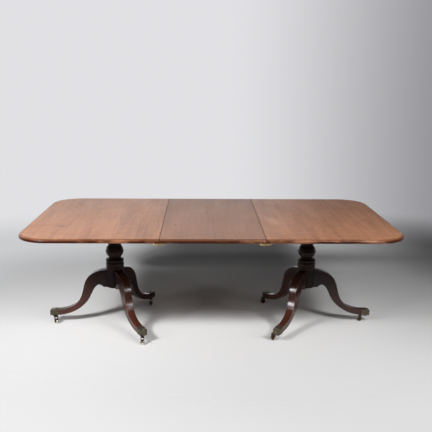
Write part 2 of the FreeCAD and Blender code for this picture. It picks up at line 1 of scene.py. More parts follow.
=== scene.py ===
import json
import logging
import math
from collections.abc import Callable, Iterable
from dataclasses import dataclass, field
from enum import Enum

import bmesh
import bpy
import numpy as np
from mathutils import Matrix, Vector


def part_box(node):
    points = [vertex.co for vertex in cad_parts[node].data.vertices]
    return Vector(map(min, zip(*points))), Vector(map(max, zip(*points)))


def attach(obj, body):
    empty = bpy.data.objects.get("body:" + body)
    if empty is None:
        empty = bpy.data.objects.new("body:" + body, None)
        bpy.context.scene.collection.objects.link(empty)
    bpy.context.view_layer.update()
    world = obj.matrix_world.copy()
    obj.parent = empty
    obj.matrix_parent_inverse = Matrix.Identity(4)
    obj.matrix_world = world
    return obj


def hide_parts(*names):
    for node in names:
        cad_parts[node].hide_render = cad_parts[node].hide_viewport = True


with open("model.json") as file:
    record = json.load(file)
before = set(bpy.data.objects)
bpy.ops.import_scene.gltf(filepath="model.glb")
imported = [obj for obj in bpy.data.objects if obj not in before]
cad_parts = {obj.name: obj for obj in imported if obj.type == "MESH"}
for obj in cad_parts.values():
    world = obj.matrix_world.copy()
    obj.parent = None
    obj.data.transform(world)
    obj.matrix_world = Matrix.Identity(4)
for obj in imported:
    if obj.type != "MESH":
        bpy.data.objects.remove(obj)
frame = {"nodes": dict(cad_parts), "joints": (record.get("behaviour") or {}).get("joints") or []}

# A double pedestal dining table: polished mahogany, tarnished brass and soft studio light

log = logging.getLogger("dining_table")

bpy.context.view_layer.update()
MM = 0.001
TINY = 1e-6
CUT_SNAP = 1e-7
FULL_TURN = 2 * math.pi
SMOOTH_BELOW = math.radians(32)
CORNER_ABOVE = math.radians(60)
ROOT_BODY = "ends"
WEAR = ("rub", "grime", "edge")

# Sizes that a pillar and its legs share
HUB_FLAT = 47.5 * MM
HUB_BOTTOM = 246 * MM
LEG_TOP = 361 * MM

# How far from the hub the painted shade reaches on legs that stand in the top's shadow; the other legs keep
# their usual reach
SHADE_REACH = {"left_back": 900 * MM, "right_back": 330 * MM, "right_outer": 600 * MM}

Pair = tuple[float, float]
Triple = tuple[float, float, float]
Socket = bpy.types.NodeSocket
Paint = Triple | Socket
Shape = bmesh.types.BMesh
Vert = bmesh.types.BMVert
Edge = bmesh.types.BMEdge
Face = bmesh.types.BMFace


class GrainSource(Enum):
    """Where a wood finish reads the direction of its grain."""

    CARRIED = "grain"
    ALONG_X = "x"
    ALONG_Y = "y"


class Side(Enum):
    """The two ends of the table, by the sign of their X."""

    LEFT = -1
    RIGHT = 1

    @property
    def word(self) -> str:
        """The side's name as the nodes carry it."""
        return self.name.lower()


@dataclass(frozen=True)
class Pattern:
    """A soft random pattern: its finer layers, how far it is bent, and how it is stretched and turned."""

    detail: float
    roughness: float
    distortion: float = 0.0
    repeat: Triple | None = None
    turn: float = 0.0


class NodeTree:
    """A node tree, with short calls for the nodes that the finishes and the backdrop share."""

    def __init__(self, tree: bpy.types.NodeTree) -> None:
        """Takes the tree of a material or of the world, to add nodes to."""
        self.tree = tree

    def put(self, target: Socket, value: object) -> None:
        """Fills an input.

        Args:
            target: the input.
            value: an output to link to it, or a plain value.
        """
        if isinstance(value, Socket):
            self.tree.links.new(value, target)
        else:
            target.default_value = value

    def node(self, kind: str, inputs: dict[str | int, object] | None = None,
             **settings: object) -> bpy.types.Node:
        """Adds a node.

        Args:
            kind: Blender's name of the node type.
            inputs: what goes into its inputs, by their names or numbers.
            settings: properties to set on the node.

        Returns:
            The new node.
        """
        made = self.tree.nodes.new(kind)
        for key, value in settings.items():
            setattr(made, key, value)
        for key, value in (inputs or {}).items():
            self.put(made.inputs[key], value)
        return made

    def mapped(self, place: Socket, scale: Triple, shift: Triple = (0, 0, 0), turn: float = 0.0,
               kind: str = "POINT") -> Socket:
        """A place that is turned, stretched and moved.

        Args:
            place: the place to start from.
            scale: how often the pattern repeats along each axis, or with TEXTURE its size.
            shift: where the pattern starts.
            turn: its turn about the third axis, in degrees.
            kind: POINT, or TEXTURE, which puts a pattern of a given size at a given place.

        Returns:
            The socket with the new place.
        """
        turns = (0, 0, math.radians(turn))
        inputs = {"Vector": place, "Scale": scale, "Location": shift, "Rotation": turns}
        return self.node("ShaderNodeMapping", inputs, vector_type=kind).outputs["Vector"]

    def pattern(self, place: Socket, look: Pattern, start: Triple = (0, 0, 0), scale: float = 1.0) -> Socket:
        """Soft random values from 0 to 1.

        Args:
            place: where to read the pattern.
            look: the pattern.
            start: where a stretched pattern starts.
            scale: how often the pattern repeats in a unit of place.

        Returns:
            The socket with the value.
        """
        if look.repeat:
            place = self.mapped(place, look.repeat, start, look.turn)
        inputs = {"Vector": place, "Scale": scale, "Detail": look.detail, "Roughness": look.roughness,
                  "Distortion": look.distortion}
        return self.node("ShaderNodeTexNoise", inputs).outputs["Fac"]

    def spread(self, value: Socket, low: float, high: float, to_low: float = 0.0,
               to_high: float = 1.0) -> Socket:
        """A stretch of values moved to another stretch, and kept inside it.

        Args:
            value: the value to move.
            low: what becomes to_low.
            high: what becomes to_high.
            to_low: the new lower end.
            to_high: the new upper end.

        Returns:
            The socket with the moved value.
        """
        inputs = {"Value": value, "From Min": low, "From Max": high, "To Min": to_low, "To Max": to_high}
        return self.node("ShaderNodeMapRange", inputs, interpolation_type="SMOOTHSTEP").outputs["Result"]

    def sum_of(self, parts: Iterable[tuple[Socket, float]]) -> Socket:
        """Several values, each times its share, added up.

        Args:
            parts: each value with its share.

        Returns:
            The socket with the sum.
        """
        total = 0.0
        for value, share in parts:
            inputs = {0: value, 1: share, 2: total}
            total = self.node("ShaderNodeMath", inputs, operation="MULTIPLY_ADD").outputs[0]
        return total

    def times(self, value: Socket, other: Socket) -> Socket:
        """Two values multiplied."""
        return self.node("ShaderNodeMath", {0: value, 1: other}, operation="MULTIPLY").outputs[0]

    def length(self, place: Socket) -> Socket:
        """How far a place lies from the origin."""
        return self.node("ShaderNodeVectorMath", {0: place}, operation="LENGTH").outputs["Value"]

    def axes(self, place: Socket) -> Iterable[Socket]:
        """The three numbers of a place."""
        return self.node("ShaderNodeSeparateXYZ", {0: place}).outputs

    def ramp(self, value: Socket, stops: list[tuple[float, Triple]]) -> Socket:
        """A value turned into a colour.

        Args:
            value: from 0 to 1.
            stops: the colour at each of a few values, in rising order.

        Returns:
            The socket with the colour.
        """
        made = self.node("ShaderNodeValToRGB", {"Fac": value})
        elements = made.color_ramp.elements
        # A new stop may start anywhere, because each is moved to its place below
        while len(elements) < len(stops):
            elements.new(0.5)
        for element, (place, colour) in zip(elements, stops):
            element.position = place
            element.color = (*colour, 1.0)
        return made.outputs["Color"]

    def tint(self, share: Socket, base: Paint, colour: Paint) -> Socket:
        """A colour laid over another.

        Args:
            share: how much of the new colour lies there, from 0 to 1.
            base: the colour below.
            colour: the new colour.

        Returns:
            The socket with the result.
        """
        made = self.node("ShaderNodeMix", {"Factor": share}, data_type="RGBA")
        colours = [socket for socket in made.inputs if socket.type == "RGBA"]
        for paint, socket in zip((base, colour), colours):
            self.put(socket, (*paint, 1.0) if isinstance(paint, tuple) else paint)
        return next(socket for socket in made.outputs if socket.type == "RGBA")


class Shader(NodeTree):
    """One material's node tree."""

    def __init__(self, name: str) -> None:
        """Makes an empty material.

        Args:
            name: the material's name.
        """
        self.material = bpy.data.materials.new(name)
        self.material.use_nodes = True
        super().__init__(self.material.node_tree)
        self.surface = self.tree.nodes["Principled BSDF"]

    def object_place(self) -> Socket:
        """The place of a point in the frame."""
        return self.node("ShaderNodeTexCoord").outputs["Object"]

    def carried(self, name: str, kind: str = "Fac") -> Socket:
        """A value that the mesh carries at its vertices, read from one output of its attribute."""
        return self.node("ShaderNodeAttribute", attribute_name=name).outputs[kind]

    def fill(self, **inputs: object) -> None:
        """Fills inputs of the surface, whose names are written with _ for a space."""
        for name, value in inputs.items():
            self.put(self.surface.inputs[name.replace("_", " ")], value)

    def bump(self, height: Socket, strength: float, distance: float) -> None:
        """Lets a height catch the light.

        Args:
            height: the height, from 0 to 1.
            strength: how much of it shows.
            distance: the height of 1, in metres.
        """
        made = self.node("ShaderNodeBump", {"Height": height, "Strength": strength, "Distance": distance})
        self.fill(Normal=made.outputs["Normal"])


@dataclass(frozen=True)
class Stain:
    """A mark with soft, ragged edges: an old spill, or a patch where the polish has faded."""

    place: Pair
    length: float
    width: float
    turn: float
    colour: Triple
    strength: float
    # Far taller than the table, so that a mark is the same at any height
    height: float = 1e6
    ragged: Pattern = Pattern(4, 0.6, 0.3)
    ragged_scale: float = 1.7
    ragged_share: float = 1.1
    fade: Pair = (1.5, 0.5)

    def over(self, shader: Shader, base: Socket) -> Socket:
        """Lays the mark over a colour.

        Args:
            shader: the material that is being made.
            base: the colour below.

        Returns:
            The socket with the result.
        """
        size = (self.length / 2, self.width / 2, self.height)
        place = shader.mapped(shader.object_place(), size, (*self.place, 0), self.turn, "TEXTURE")
        ragged = shader.pattern(place, self.ragged, scale=self.ragged_scale)
        reach = shader.sum_of([(shader.length(place), 1.0), (ragged, self.ragged_share)])
        return shader.tint(shader.spread(reach, *self.fade, 0.0, self.strength), base, self.colour)


@dataclass(frozen=True)
class GrainLook:
    """The patterns that all the woods share, and how much of each shows."""

    broad: Pattern = Pattern(4, 0.55, 0.25, (0.9, 7, 7))
    ribbon: Pattern = Pattern(5, 0.6, 0.35, (2.2, 40, 40))
    fine: Pattern = Pattern(4, 0.65, 0.0, (9, 300, 300))
    mottle: Pattern = Pattern(4, 0.6, 0.35, (16, 7, 7), 24)
    cloud: Pattern = Pattern(3, 0.55, 0.4, (1.6, 2.6, 1), 38)
    pores: Pattern = Pattern(2, 0.5, 0.0, (55, 1100, 1100))
    shade_gap_pattern: Pattern = Pattern(3, 0.6, 0.0, (5, 5, 14))
    scuff: Pattern = Pattern(4, 0.6, 0.0, (90, 90, 90))
    smear: Pattern = Pattern(4, 0.6, 0.1, (5, 9, 9))
    smear_start: Triple = (3, 1, 2)
    tone_shares: tuple[float, ...] = (0.36, 0.34, 0.16, 0.14)
    tone_stops: Triple = (0.34, 0.50, 0.66)
    cloud_span: Pair = (0.45, 0.72)
    pore_span: Pair = (0.58, 0.68)
    shade_gap_span: Pair = (0.48, 0.66)
    rub_span: tuple[float, ...] = (0.35, 0.62, 0.15, 0.85)
    grime_span: tuple[float, ...] = (0.25, 0.6, 0.7, 1.0)
    matt_shares: Triple = (0.16, 0.06, 0.10)
    matt_middle: float = 0.11
    edge_dulls: float = 0.7
    dull_specular: float = 0.02
    relief_shares: Pair = (-0.5, 0.2)
    relief_strength: float = 0.22
    relief_height: float = 0.4 * MM


@dataclass(frozen=True)
class WoodFinish:
    """A wood with its grain, pores, polish and rubbed arrises, with dirt and painted shade in its hollows
    and painted shade on its edges.
    """

    name: str
    dark: Triple
    middle: Triple
    light: Triple
    rubbed: Triple
    # The colour of dirt, and of painted shade in the hollows and the quirk
    grime: Triple
    # The colour of the painted shade on the tops' edges and near the legs' hubs
    edge: Triple
    polish: float
    source: GrainSource = GrainSource.CARRIED
    start: float = 0.0
    patch: float = 0.0
    pore_depth: float = 0.5
    specular: float = 0.5
    dull_dirt_and_shade: bool = False
    edge_shade_gaps: float = 0.0
    stains: tuple[Stain, ...] = ()
    look: GrainLook = GrainLook()

    def grain_place(self, shader: Shader) -> Socket:
        """The place of a point with its first axis along the grain.

        Args:
            shader: the material that is being made.

        Returns:
            The socket with the place.
        """
        if self.source is GrainSource.CARRIED:
            return shader.carried(self.source.value, "Vector")
        turn = -90 if self.source is GrainSource.ALONG_Y else 0
        return shader.mapped(shader.object_place(), (1, 1, 1), turn=turn)

    def material(self) -> bpy.types.Material:
        """Makes the finish.

        Returns:
            The new material.
        """
        shader = Shader(self.name)
        look = self.look
        place = self.grain_place(shader)
        start = (self.start, self.start, self.start)
        layers = (look.broad, look.ribbon, look.fine, look.mottle, look.pores)
        broad, ribbon, fine, mottle, pores = [shader.pattern(place, layer, start) for layer in layers]
        tone = shader.sum_of(zip((broad, ribbon, fine, mottle), look.tone_shares))
        colour = shader.ramp(tone, list(zip(look.tone_stops, (self.dark, self.middle, self.light))))
        if self.patch:
            cloud = shader.pattern(place, look.cloud, start)
            colour = shader.tint(shader.spread(cloud, *look.cloud_span, 0.0, self.patch), colour, self.light)
        for stain in self.stains:
            colour = stain.over(shader, colour)
        pore_share = shader.spread(pores, *look.pore_span, 0.0, self.pore_depth)
        colour = shader.tint(pore_share, colour, self.dark)
        # Painted shade on the tops' edges and near the legs' hubs; on the tops a long pattern breaks it into
        # lighter patches
        edge_shade_share = shader.carried("edge")
        if self.edge_shade_gaps:
            shade_gap_pattern = shader.pattern(shader.object_place(), look.shade_gap_pattern, start)
            left_dark = shader.spread(shade_gap_pattern, *look.shade_gap_span, 1.0, 1.0 - self.edge_shade_gaps)
            edge_shade_share = shader.times(edge_shade_share, left_dark)
        colour = shader.tint(edge_shade_share, colour, self.edge)
        scuff = shader.pattern(shader.object_place(), look.scuff)
        rub_share = shader.times(shader.carried("rub"), shader.spread(scuff, *look.rub_span))
        colour = shader.tint(rub_share, colour, self.rubbed)
        # Dirt and painted shade in the hollows
        dirt_and_shade_share = shader.times(shader.carried("grime"), shader.spread(scuff, *look.grime_span))
        colour = shader.tint(dirt_and_shade_share, colour, self.grime)
        smear = shader.pattern(place, look.smear, look.smear_start)
        matt = shader.sum_of(zip((smear, mottle, pore_share), look.matt_shares))
        rough = shader.node("ShaderNodeMath", {0: matt, 1: self.polish - look.matt_middle}, operation="ADD")
        shader.fill(Base_Color=colour, Roughness=rough.outputs[0], Specular_IOR_Level=self.specular)
        if self.dull_dirt_and_shade:
            dull = shader.sum_of([(dirt_and_shade_share, 1.0), (edge_shade_share, look.edge_dulls)])
            dulled = shader.spread(dull, 0.0, 1.0, self.specular, look.dull_specular)
            shader.fill(Specular_IOR_Level=dulled)
        relief = shader.sum_of(zip((pores, fine), look.relief_shares))
        shader.bump(relief, look.relief_strength, look.relief_height)
        return shader.material


@dataclass(frozen=True)
class TarnishLook:
    """The patterns that all the metals share, and how much of each shows."""

    cloud: Pattern = Pattern(5, 0.62, 0.4)
    grit: Pattern = Pattern(4, 0.7)
    grit_finer: float = 9.0
    shares: Pair = (0.75, 0.25)
    span: Pair = (0.62, 0.78)
    span_drop: Pair = (0.5, 0.4)
    half_way: float = 0.55
    speck_span: Pair = (0.60, 0.72)
    dirt: float = 0.35
    shine_shares: Pair = (0.7, 0.3)
    shine_span: Pair = (0.1, 0.9)
    relief_shares: Pair = (0.6, 0.4)
    relief_strength: float = 0.18
    relief_height: float = 0.4 * MM


@dataclass(frozen=True)
class MetalFinish:
    """A metal with its tarnish, dark specks and worn polish."""

    name: str
    clean: Triple
    tarnish: Triple
    cover: float
    smooth: float
    rough: float
    cloud: float = 60.0
    specks: float = 0.35
    look: TarnishLook = TarnishLook()

    def material(self) -> bpy.types.Material:
        """Makes the finish.

        Returns:
            The new material.
        """
        shader = Shader(self.name)
        look = self.look
        place = shader.object_place()
        cloud = shader.pattern(place, look.cloud, scale=self.cloud)
        grit = shader.pattern(place, look.grit, scale=self.cloud * look.grit_finer)
        low, high = [end - self.cover * drop for end, drop in zip(look.span, look.span_drop)]
        tarnish = shader.spread(shader.sum_of(zip((cloud, grit), look.shares)), low, high)
        half_way = tuple((a + b) / 2 for a, b in zip(self.clean, self.tarnish))
        colour = shader.ramp(tarnish, [(0.0, self.clean), (look.half_way, half_way), (1.0, self.tarnish)])
        dirt = tuple(look.dirt * part for part in self.tarnish)
        # The carried value lays dirt and painted shade on the sunk sides of the wheels
        for share in (shader.spread(grit, *look.speck_span, 0.0, self.specks), shader.carried("grime")):
            colour = shader.tint(share, colour, dirt)
        worn = shader.sum_of(zip((tarnish, grit), look.shine_shares))
        shine = shader.spread(worn, *look.shine_span, self.smooth, self.rough)
        shader.fill(Base_Color=colour, Metallic=1.0, Roughness=shine)
        relief = shader.sum_of(zip((cloud, grit), look.relief_shares))
        shader.bump(relief, look.relief_strength, look.relief_height)
        return shader.material


END_STAINS = (
    Stain((-0.89, -0.29), 0.10, 0.07, 4, (0.17, 0.065, 0.035), 0.75),
    Stain((-0.98, -0.26), 0.30, 0.10, 8, (0.28, 0.105, 0.050), 0.40),
    Stain((-0.61, 0.15), 0.42, 0.28, 65, (0.70, 0.34, 0.19), 0.50),
    Stain((0.37, -0.13), 0.46, 0.14, -75, (0.74, 0.38, 0.23), 0.65),
    Stain((0.45, -0.06), 0.34, 0.06, 30, (0.72, 0.37, 0.22), 0.50),
    Stain((0.82, -0.25), 0.50, 0.10, -82, (0.72, 0.31, 0.15), 0.45),
    Stain((0.80, 0.25), 0.55, 0.40, 0, (0.36, 0.140, 0.064), 0.45),
)
END_MAHOGANY = WoodFinish(
    "polished_mahogany_ends",
    dark=(0.27, 0.098, 0.040), middle=(0.49, 0.203, 0.096), light=(0.66, 0.300, 0.155),
    rubbed=(0.60, 0.29, 0.16), grime=(0.030, 0.012, 0.007), edge=(0.050, 0.010, 0.004),
    polish=0.27, source=GrainSource.ALONG_Y, patch=0.35, dull_dirt_and_shade=True, edge_shade_gaps=0.5, stains=END_STAINS)
LEAF_MAHOGANY = WoodFinish(
    "polished_mahogany_leaf",
    dark=(0.27, 0.110, 0.054), middle=(0.35, 0.149, 0.075), light=(0.46, 0.206, 0.109),
    rubbed=(0.42, 0.19, 0.10), grime=(0.025, 0.010, 0.006), edge=(0.056, 0.015, 0.007),
    polish=0.30, source=GrainSource.ALONG_Y, start=11.7, patch=0.2, pore_depth=0.25, dull_dirt_and_shade=True,
    edge_shade_gaps=0.5)
RAW_MAHOGANY = WoodFinish(
    "bare_mahogany_underside",
    dark=(0.085, 0.040, 0.022), middle=(0.15, 0.075, 0.042), light=(0.21, 0.115, 0.068),
    rubbed=(0.26, 0.15, 0.09), grime=(0.02, 0.012, 0.008), edge=(0.10, 0.045, 0.025),
    polish=0.75, source=GrainSource.ALONG_Y, start=1.4, specular=0.2)
# Darker than the legs' wood as painted shade, for the pillars stand in the top's shadow
PILLAR_MAHOGANY = WoodFinish(
    "dark_polished_pillar",
    dark=(0.010, 0.0035, 0.0025), middle=(0.020, 0.007, 0.005), light=(0.034, 0.011, 0.008),
    rubbed=(0.07, 0.028, 0.018), grime=(0.004, 0.002, 0.0015), edge=(0.012, 0.005, 0.004),
    polish=0.34, start=7.7, pore_depth=0.6, specular=0.25)
LEG_MAHOGANY = WoodFinish(
    "dark_polished_legs",
    dark=(0.034, 0.009, 0.006), middle=(0.072, 0.022, 0.014), light=(0.125, 0.041, 0.026),
    rubbed=(0.20, 0.08, 0.05), grime=(0.006, 0.003, 0.002), edge=(0.014, 0.005, 0.004),
    polish=0.16, start=7.7, pore_depth=0.6, specular=0.5)
CARCASS_WOOD = WoodFinish(
    "plain_carcass_wood",
    dark=(0.11, 0.058, 0.032), middle=(0.19, 0.105, 0.060), light=(0.27, 0.155, 0.092),
    rubbed=(0.30, 0.18, 0.11), grime=(0.03, 0.018, 0.012), edge=(0.15, 0.09, 0.05),
    polish=0.72, source=GrainSource.ALONG_X, start=2.2, specular=0.25)
CAP_BRASS = MetalFinish(
    "tarnished_cap_brass", clean=(0.48, 0.40, 0.28), tarnish=(0.135, 0.113, 0.080),
    cover=0.75, smooth=0.34, rough=0.6)
RIM_BRASS = MetalFinish(
    "rubbed_rim_brass", clean=(0.52, 0.44, 0.31), tarnish=(0.16, 0.13, 0.095),
    cover=0.6, smooth=0.2, rough=0.4)
FORK_BRASS = MetalFinish(
    "dark_fork_brass", clean=(0.34, 0.26, 0.14), tarnish=(0.055, 0.042, 0.028),
    cover=0.75, smooth=0.26, rough=0.55, cloud=90.0)
# Nearly white, lighter than clean brass: worn treads with a painted highlight
WHEEL_BRASS = MetalFinish(
    "worn_wheel_brass", clean=(0.92, 0.85, 0.70), tarnish=(0.36, 0.29, 0.18),
    cover=0.2, smooth=0.14, rough=0.4, cloud=90.0)
CLIP_BRASS = MetalFinish(
    "lacquered_clip_brass", clean=(0.98, 0.80, 0.42), tarnish=(0.76, 0.57, 0.27),
    cover=0.35, smooth=0.36, rough=0.55, cloud=45.0)
STRAP_IRON = MetalFinish(
    "forged_strap_iron", clean=(0.14, 0.13, 0.12), tarnish=(0.06, 0.045, 0.036),
    cover=0.6, smooth=0.45, rough=0.75, cloud=50.0)
SCREW_STEEL = MetalFinish(
    "dull_screw_steel", clean=(0.42, 0.40, 0.37), tarnish=(0.16, 0.12, 0.09),
    cover=0.5, smooth=0.35, rough=0.6, cloud=120.0)
Finish = WoodFinish | MetalFinish

# Nodes of small pieces that stay as the solids are
SMALL_PIECES = {
    "tenon_wedges": CARCASS_WOOD, "top_screws": SCREW_STEEL, "strap_screws": SCREW_STEEL,
    "toe_cap_pins": CAP_BRASS, "castor_pintles": FORK_BRASS, "socket_screws": SCREW_STEEL,
    "keeper_screws": SCREW_STEEL, "leaf_keepers": CLIP_BRASS,
}


def in_scene(name: str, data: bpy.types.ID) -> bpy.types.Object:
    """Puts a mesh, a lamp or a camera in the scene.

    Args:
        name: the object's name.
        data: what it shows.

    Returns:
        The new object.
    """
    made = bpy.data.objects.new(name, data)
    bpy.context.scene.collection.objects.link(made)
    return made


def to_object(name: str, mesh: Shape) -> bpy.types.Object:
    """Makes an object of a bmesh.

    Args:
        name: the object's name.
        mesh: its shape, which is used up.

    Returns:
        The new object.
    """
    data = bpy.data.meshes.new(name)
    mesh.to_mesh(data)
    mesh.free()
    return in_scene(name, data)


def new_shape() -> Shape:
    """An empty bmesh whose vertices carry wear.

    Returns:
        The bmesh.
    """
    mesh = bmesh.new()
    for name in WEAR:
        mesh.verts.layers.float.new(name)
    return mesh


def face_out(mesh: Shape) -> None:
    """Turns all the faces of a shape outwards."""
    bmesh.ops.recalc_face_normals(mesh, faces=mesh.faces[:])


def move(mesh: Shape, way: Triple) -> None:
    """Moves a whole shape."""
    bmesh.ops.translate(mesh, verts=mesh.verts[:], vec=way)


def standing(x: float, y: float, turn: float) -> Matrix:
    """A place on the floor, turned about the upright line through it."""
    return Matrix.Translation((x, y, 0)) @ Matrix.Rotation(turn, 4, "Z")


def arc_between(start: Vector, middle: Vector, end: Vector, steps: int) -> list[Vector]:
    """Points of a round line through three points of a plane.

    Args:
        start: the first point, two numbers.
        middle: a point on the way.
        end: the last point.
        steps: how many stretches to divide it into.

    Returns:
        The points after start, with end as the last.
    """
    ab, ac = middle - start, end - start
    cross = 2 * (ab.x * ac.y - ab.y * ac.x)
    centre = start + Vector(((ac.y * ab.length_squared - ab.y * ac.length_squared) / cross,
                             (ab.x * ac.length_squared - ac.x * ab.length_squared) / cross))
    turns = [math.atan2(point.y - centre.y, point.x - centre.x) for point in (start, middle, end)]
    sweep = (turns[2] - turns[0]) % FULL_TURN
    if (turns[1] - turns[0]) % FULL_TURN > sweep:
        sweep -= FULL_TURN
    radius = (start - centre).length
    angles = [turns[0] + sweep * step / steps for step in range(1, steps + 1)]
    return [centre + radius * Vector((math.cos(angle), math.sin(angle))) for angle in angles]


def swept_line(points: list[Vector], first_way: Pair, last_way: Pair, steps: int) -> list[Vector]:
    """A smooth line through points of a plane, with its direction given at both ends.

    Args:
        points: the points that it goes through.
        first_way: its direction at the first point.
        last_way: its direction at the last point.
        steps: how many stretches to divide it into.

    Returns:
        The points of the line, first and last included.
    """
    knots = np.array(points, float)
    spans = np.linalg.norm(np.diff(knots, axis=0), axis=1)
    at = np.concatenate(([0.0], np.cumsum(spans)))
    count = len(knots)
    matrix = np.eye(count)
    ways = np.zeros_like(knots)
    ways[0], ways[-1] = Vector(first_way).normalized(), Vector(last_way).normalized()
    for i in range(1, count - 1):
        before, after = spans[i - 1], spans[i]
        matrix[i, i - 1:i + 2] = after, 2 * (before + after), before
        arriving = after * (knots[i] - knots[i - 1]) / before
        leaving = before * (knots[i + 1] - knots[i]) / after
        ways[i] = 3 * (arriving + leaving)
    ways = np.linalg.solve(matrix, ways)
    line = []
    for place in np.linspace(0, at[-1], steps + 1):
        i = min(int(np.searchsorted(at, place, side="right")) - 1, count - 2)
        t = (place - at[i]) / spans[i]
        from_knot = (1 + 2 * t) * (1 - t) ** 2 * knots[i] + t * (1 - t) ** 2 * spans[i] * ways[i]
        to_knot = t * t * (3 - 2 * t) * knots[i + 1] + t * t * (t - 1) * spans[i] * ways[i + 1]
        line.append(Vector(from_knot + to_knot))
    return line


def carry(mesh: Shape, grain: Matrix) -> None:
    """Writes to each vertex its place along and across the grain.

    Args:
        mesh: the shape, before it is put in its place.
        grain: turns its own axes so that the first runs along the grain.
    """
    layer = mesh.verts.layers.float_vector.new("grain")
    for vert in mesh.verts:
        vert[layer] = grain @ vert.co


def mark(mesh: Shape, name: str, verts: list[Vert], value: float = 1.0) -> None:
    """Writes a wear value to some vertices.

    Args:
        mesh: the shape.
        name: the value's name, one of those in WEAR.
        verts: the vertices that get it.
        value: from 0 to 1.
    """
    layer = mesh.verts.layers.float[name]
    for vert in verts:
        vert[layer] = value


def ease(mesh: Shape, edges: list[Edge], radius: float, segments: int, rub: float = 0.0) -> None:
    """Rounds some edges, and lets their middles show wear.

    Args:
        mesh: the shape.
        edges: the edges to round.
        radius: how far the rounding reaches.
        segments: how many faces go round it.
        rub: how rubbed the middle of the rounding is.
    """
    result = bmesh.ops.bevel(mesh, geom=edges, offset=radius, offset_type="OFFSET", segments=segments,
                             profile=0.5, affect="EDGES", clamp_overlap=True, material=-1)
    if rub:
        rounded = set(result["faces"])
        inner = [vert for vert in result["verts"] if vert.is_valid and rounded.issuperset(vert.link_faces)]
        mark(mesh, "rub", inner, rub)


def outline_face(mesh: Shape, points: list[Vector]) -> Face:
    """A new flat face with the given corners."""
    return mesh.faces.new([mesh.verts.new(point) for point in points])


def thicken(mesh: Shape, face: Face, way: Triple) -> Face:
    """Draws a flat face out into a solid.

    Args:
        mesh: the shape.
        face: the face.
        way: how far it is drawn out.

    Returns:
        The face at the moved end.
    """
    drawn = bmesh.ops.extrude_face_region(mesh, geom=[face])["geom"]
    bmesh.ops.translate(mesh, verts=[item for item in drawn if isinstance(item, Vert)], vec=way)
    return next(item for item in drawn if isinstance(item, Face))


def cut(mesh: Shape, place: Triple, way: Triple, clear: bool) -> list[Edge]:
    """Cuts a shape by a plane.

    Args:
        mesh: the shape.
        place: a point of the plane.
        way: the direction that it faces.
        clear: whether what lies before the plane is taken away.

    Returns:
        The edges of the cut.
    """
    everything = mesh.verts[:] + mesh.edges[:] + mesh.faces[:]
    result = bmesh.ops.bisect_plane(mesh, geom=everything, dist=CUT_SNAP, plane_co=place, plane_no=way,
                                    clear_outer=clear)
    return [item for item in result["geom_cut"] if isinstance(item, Edge)]


def turn_round(mesh: Shape, line: list[Vert], edges: list[Edge], centre: Triple, axis: Triple,
               steps: int) -> None:
    """Spins a line right round and closes its seam and poles.

    Args:
        mesh: the shape.
        line: the line's vertices.
        edges: the edges between them.
        centre: a point of the axis.
        axis: the axis.
        steps: how many faces go round it.
    """
    bmesh.ops.spin(mesh, geom=line + edges, cent=centre, axis=axis, dvec=(0, 0, 0), angle=FULL_TURN,
                   steps=steps, use_merge=True, use_duplicate=False)
    bmesh.ops.remove_doubles(mesh, verts=mesh.verts[:], dist=TINY)


def edges_where(mesh: Shape, test: Callable[[Vector], bool]) -> list[Edge]:
    """The edges whose two ends both pass a test."""
    return [edge for edge in mesh.edges if all(test(vert.co) for vert in edge.verts)]


def corner_edges(mesh: Shape) -> list[Edge]:
    """The edges at which two faces meet in a corner."""
    return [edge for edge in mesh.edges if edge.is_manifold and edge.calc_face_angle(0.0) > CORNER_ABOVE]


class Workshop:
    """Keeps the finished materials and turns bmeshes into pieces that ride on their bodies."""

    def __init__(self) -> None:
        """Starts with no materials made."""
        self.made: dict[str, bpy.types.Material] = {}

    def material(self, finish: Finish) -> bpy.types.Material:
        """The material of a finish, made the first time that it is asked for.

        Args:
            finish: the finish.

        Returns:
            Its material.
        """
        if finish.name not in self.made:
            self.made[finish.name] = finish.material()
        return self.made[finish.name]

    def piece(self, name: str, mesh: Shape, finishes: Iterable[Finish], body: str, slot: str,
              stands_for: str) -> None:
        """Makes an object of a bmesh and ties it to the frame.

        Args:
            name: the piece's name.
            mesh: its shape, in the frame; it is used up.
            finishes: what its faces are finished with, in the order of their material numbers.
            body: the body that it rides on.
            slot: the record's material slot; it is not used.
            stands_for: the node that it replaces.
        """
        face_out(mesh)
        for face in mesh.faces:
            face.smooth = True
        for edge in mesh.edges:
            edge.smooth = edge.is_manifold and edge.calc_face_angle(0.0) < SMOOTH_BELOW
        made = to_object(name, mesh)
        for finish in finishes:
            made.data.materials.append(self.material(finish))
        even = made.modifiers.new("even_shading", "WEIGHTED_NORMAL")
        even.keep_sharp = True
        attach(made, body)
        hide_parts(stands_for)
        log.info("%s: %d faces, rides on %s", name, len(made.data.polygons), body)

    def dress(self, node: str, finish: Finish) -> None:
        """Gives a node of the frame that stays as it is a finish.

        Args:
            node: the node's name.
            finish: the finish.
        """
        shape = frame["nodes"][node]
        if not shape.material_slots:
            shape.data.materials.append(None)
        for place in shape.material_slots:
            place.link = "OBJECT"
            place.material = self.material(finish)
        log.info("%s: dressed as %s", node, finish.name)


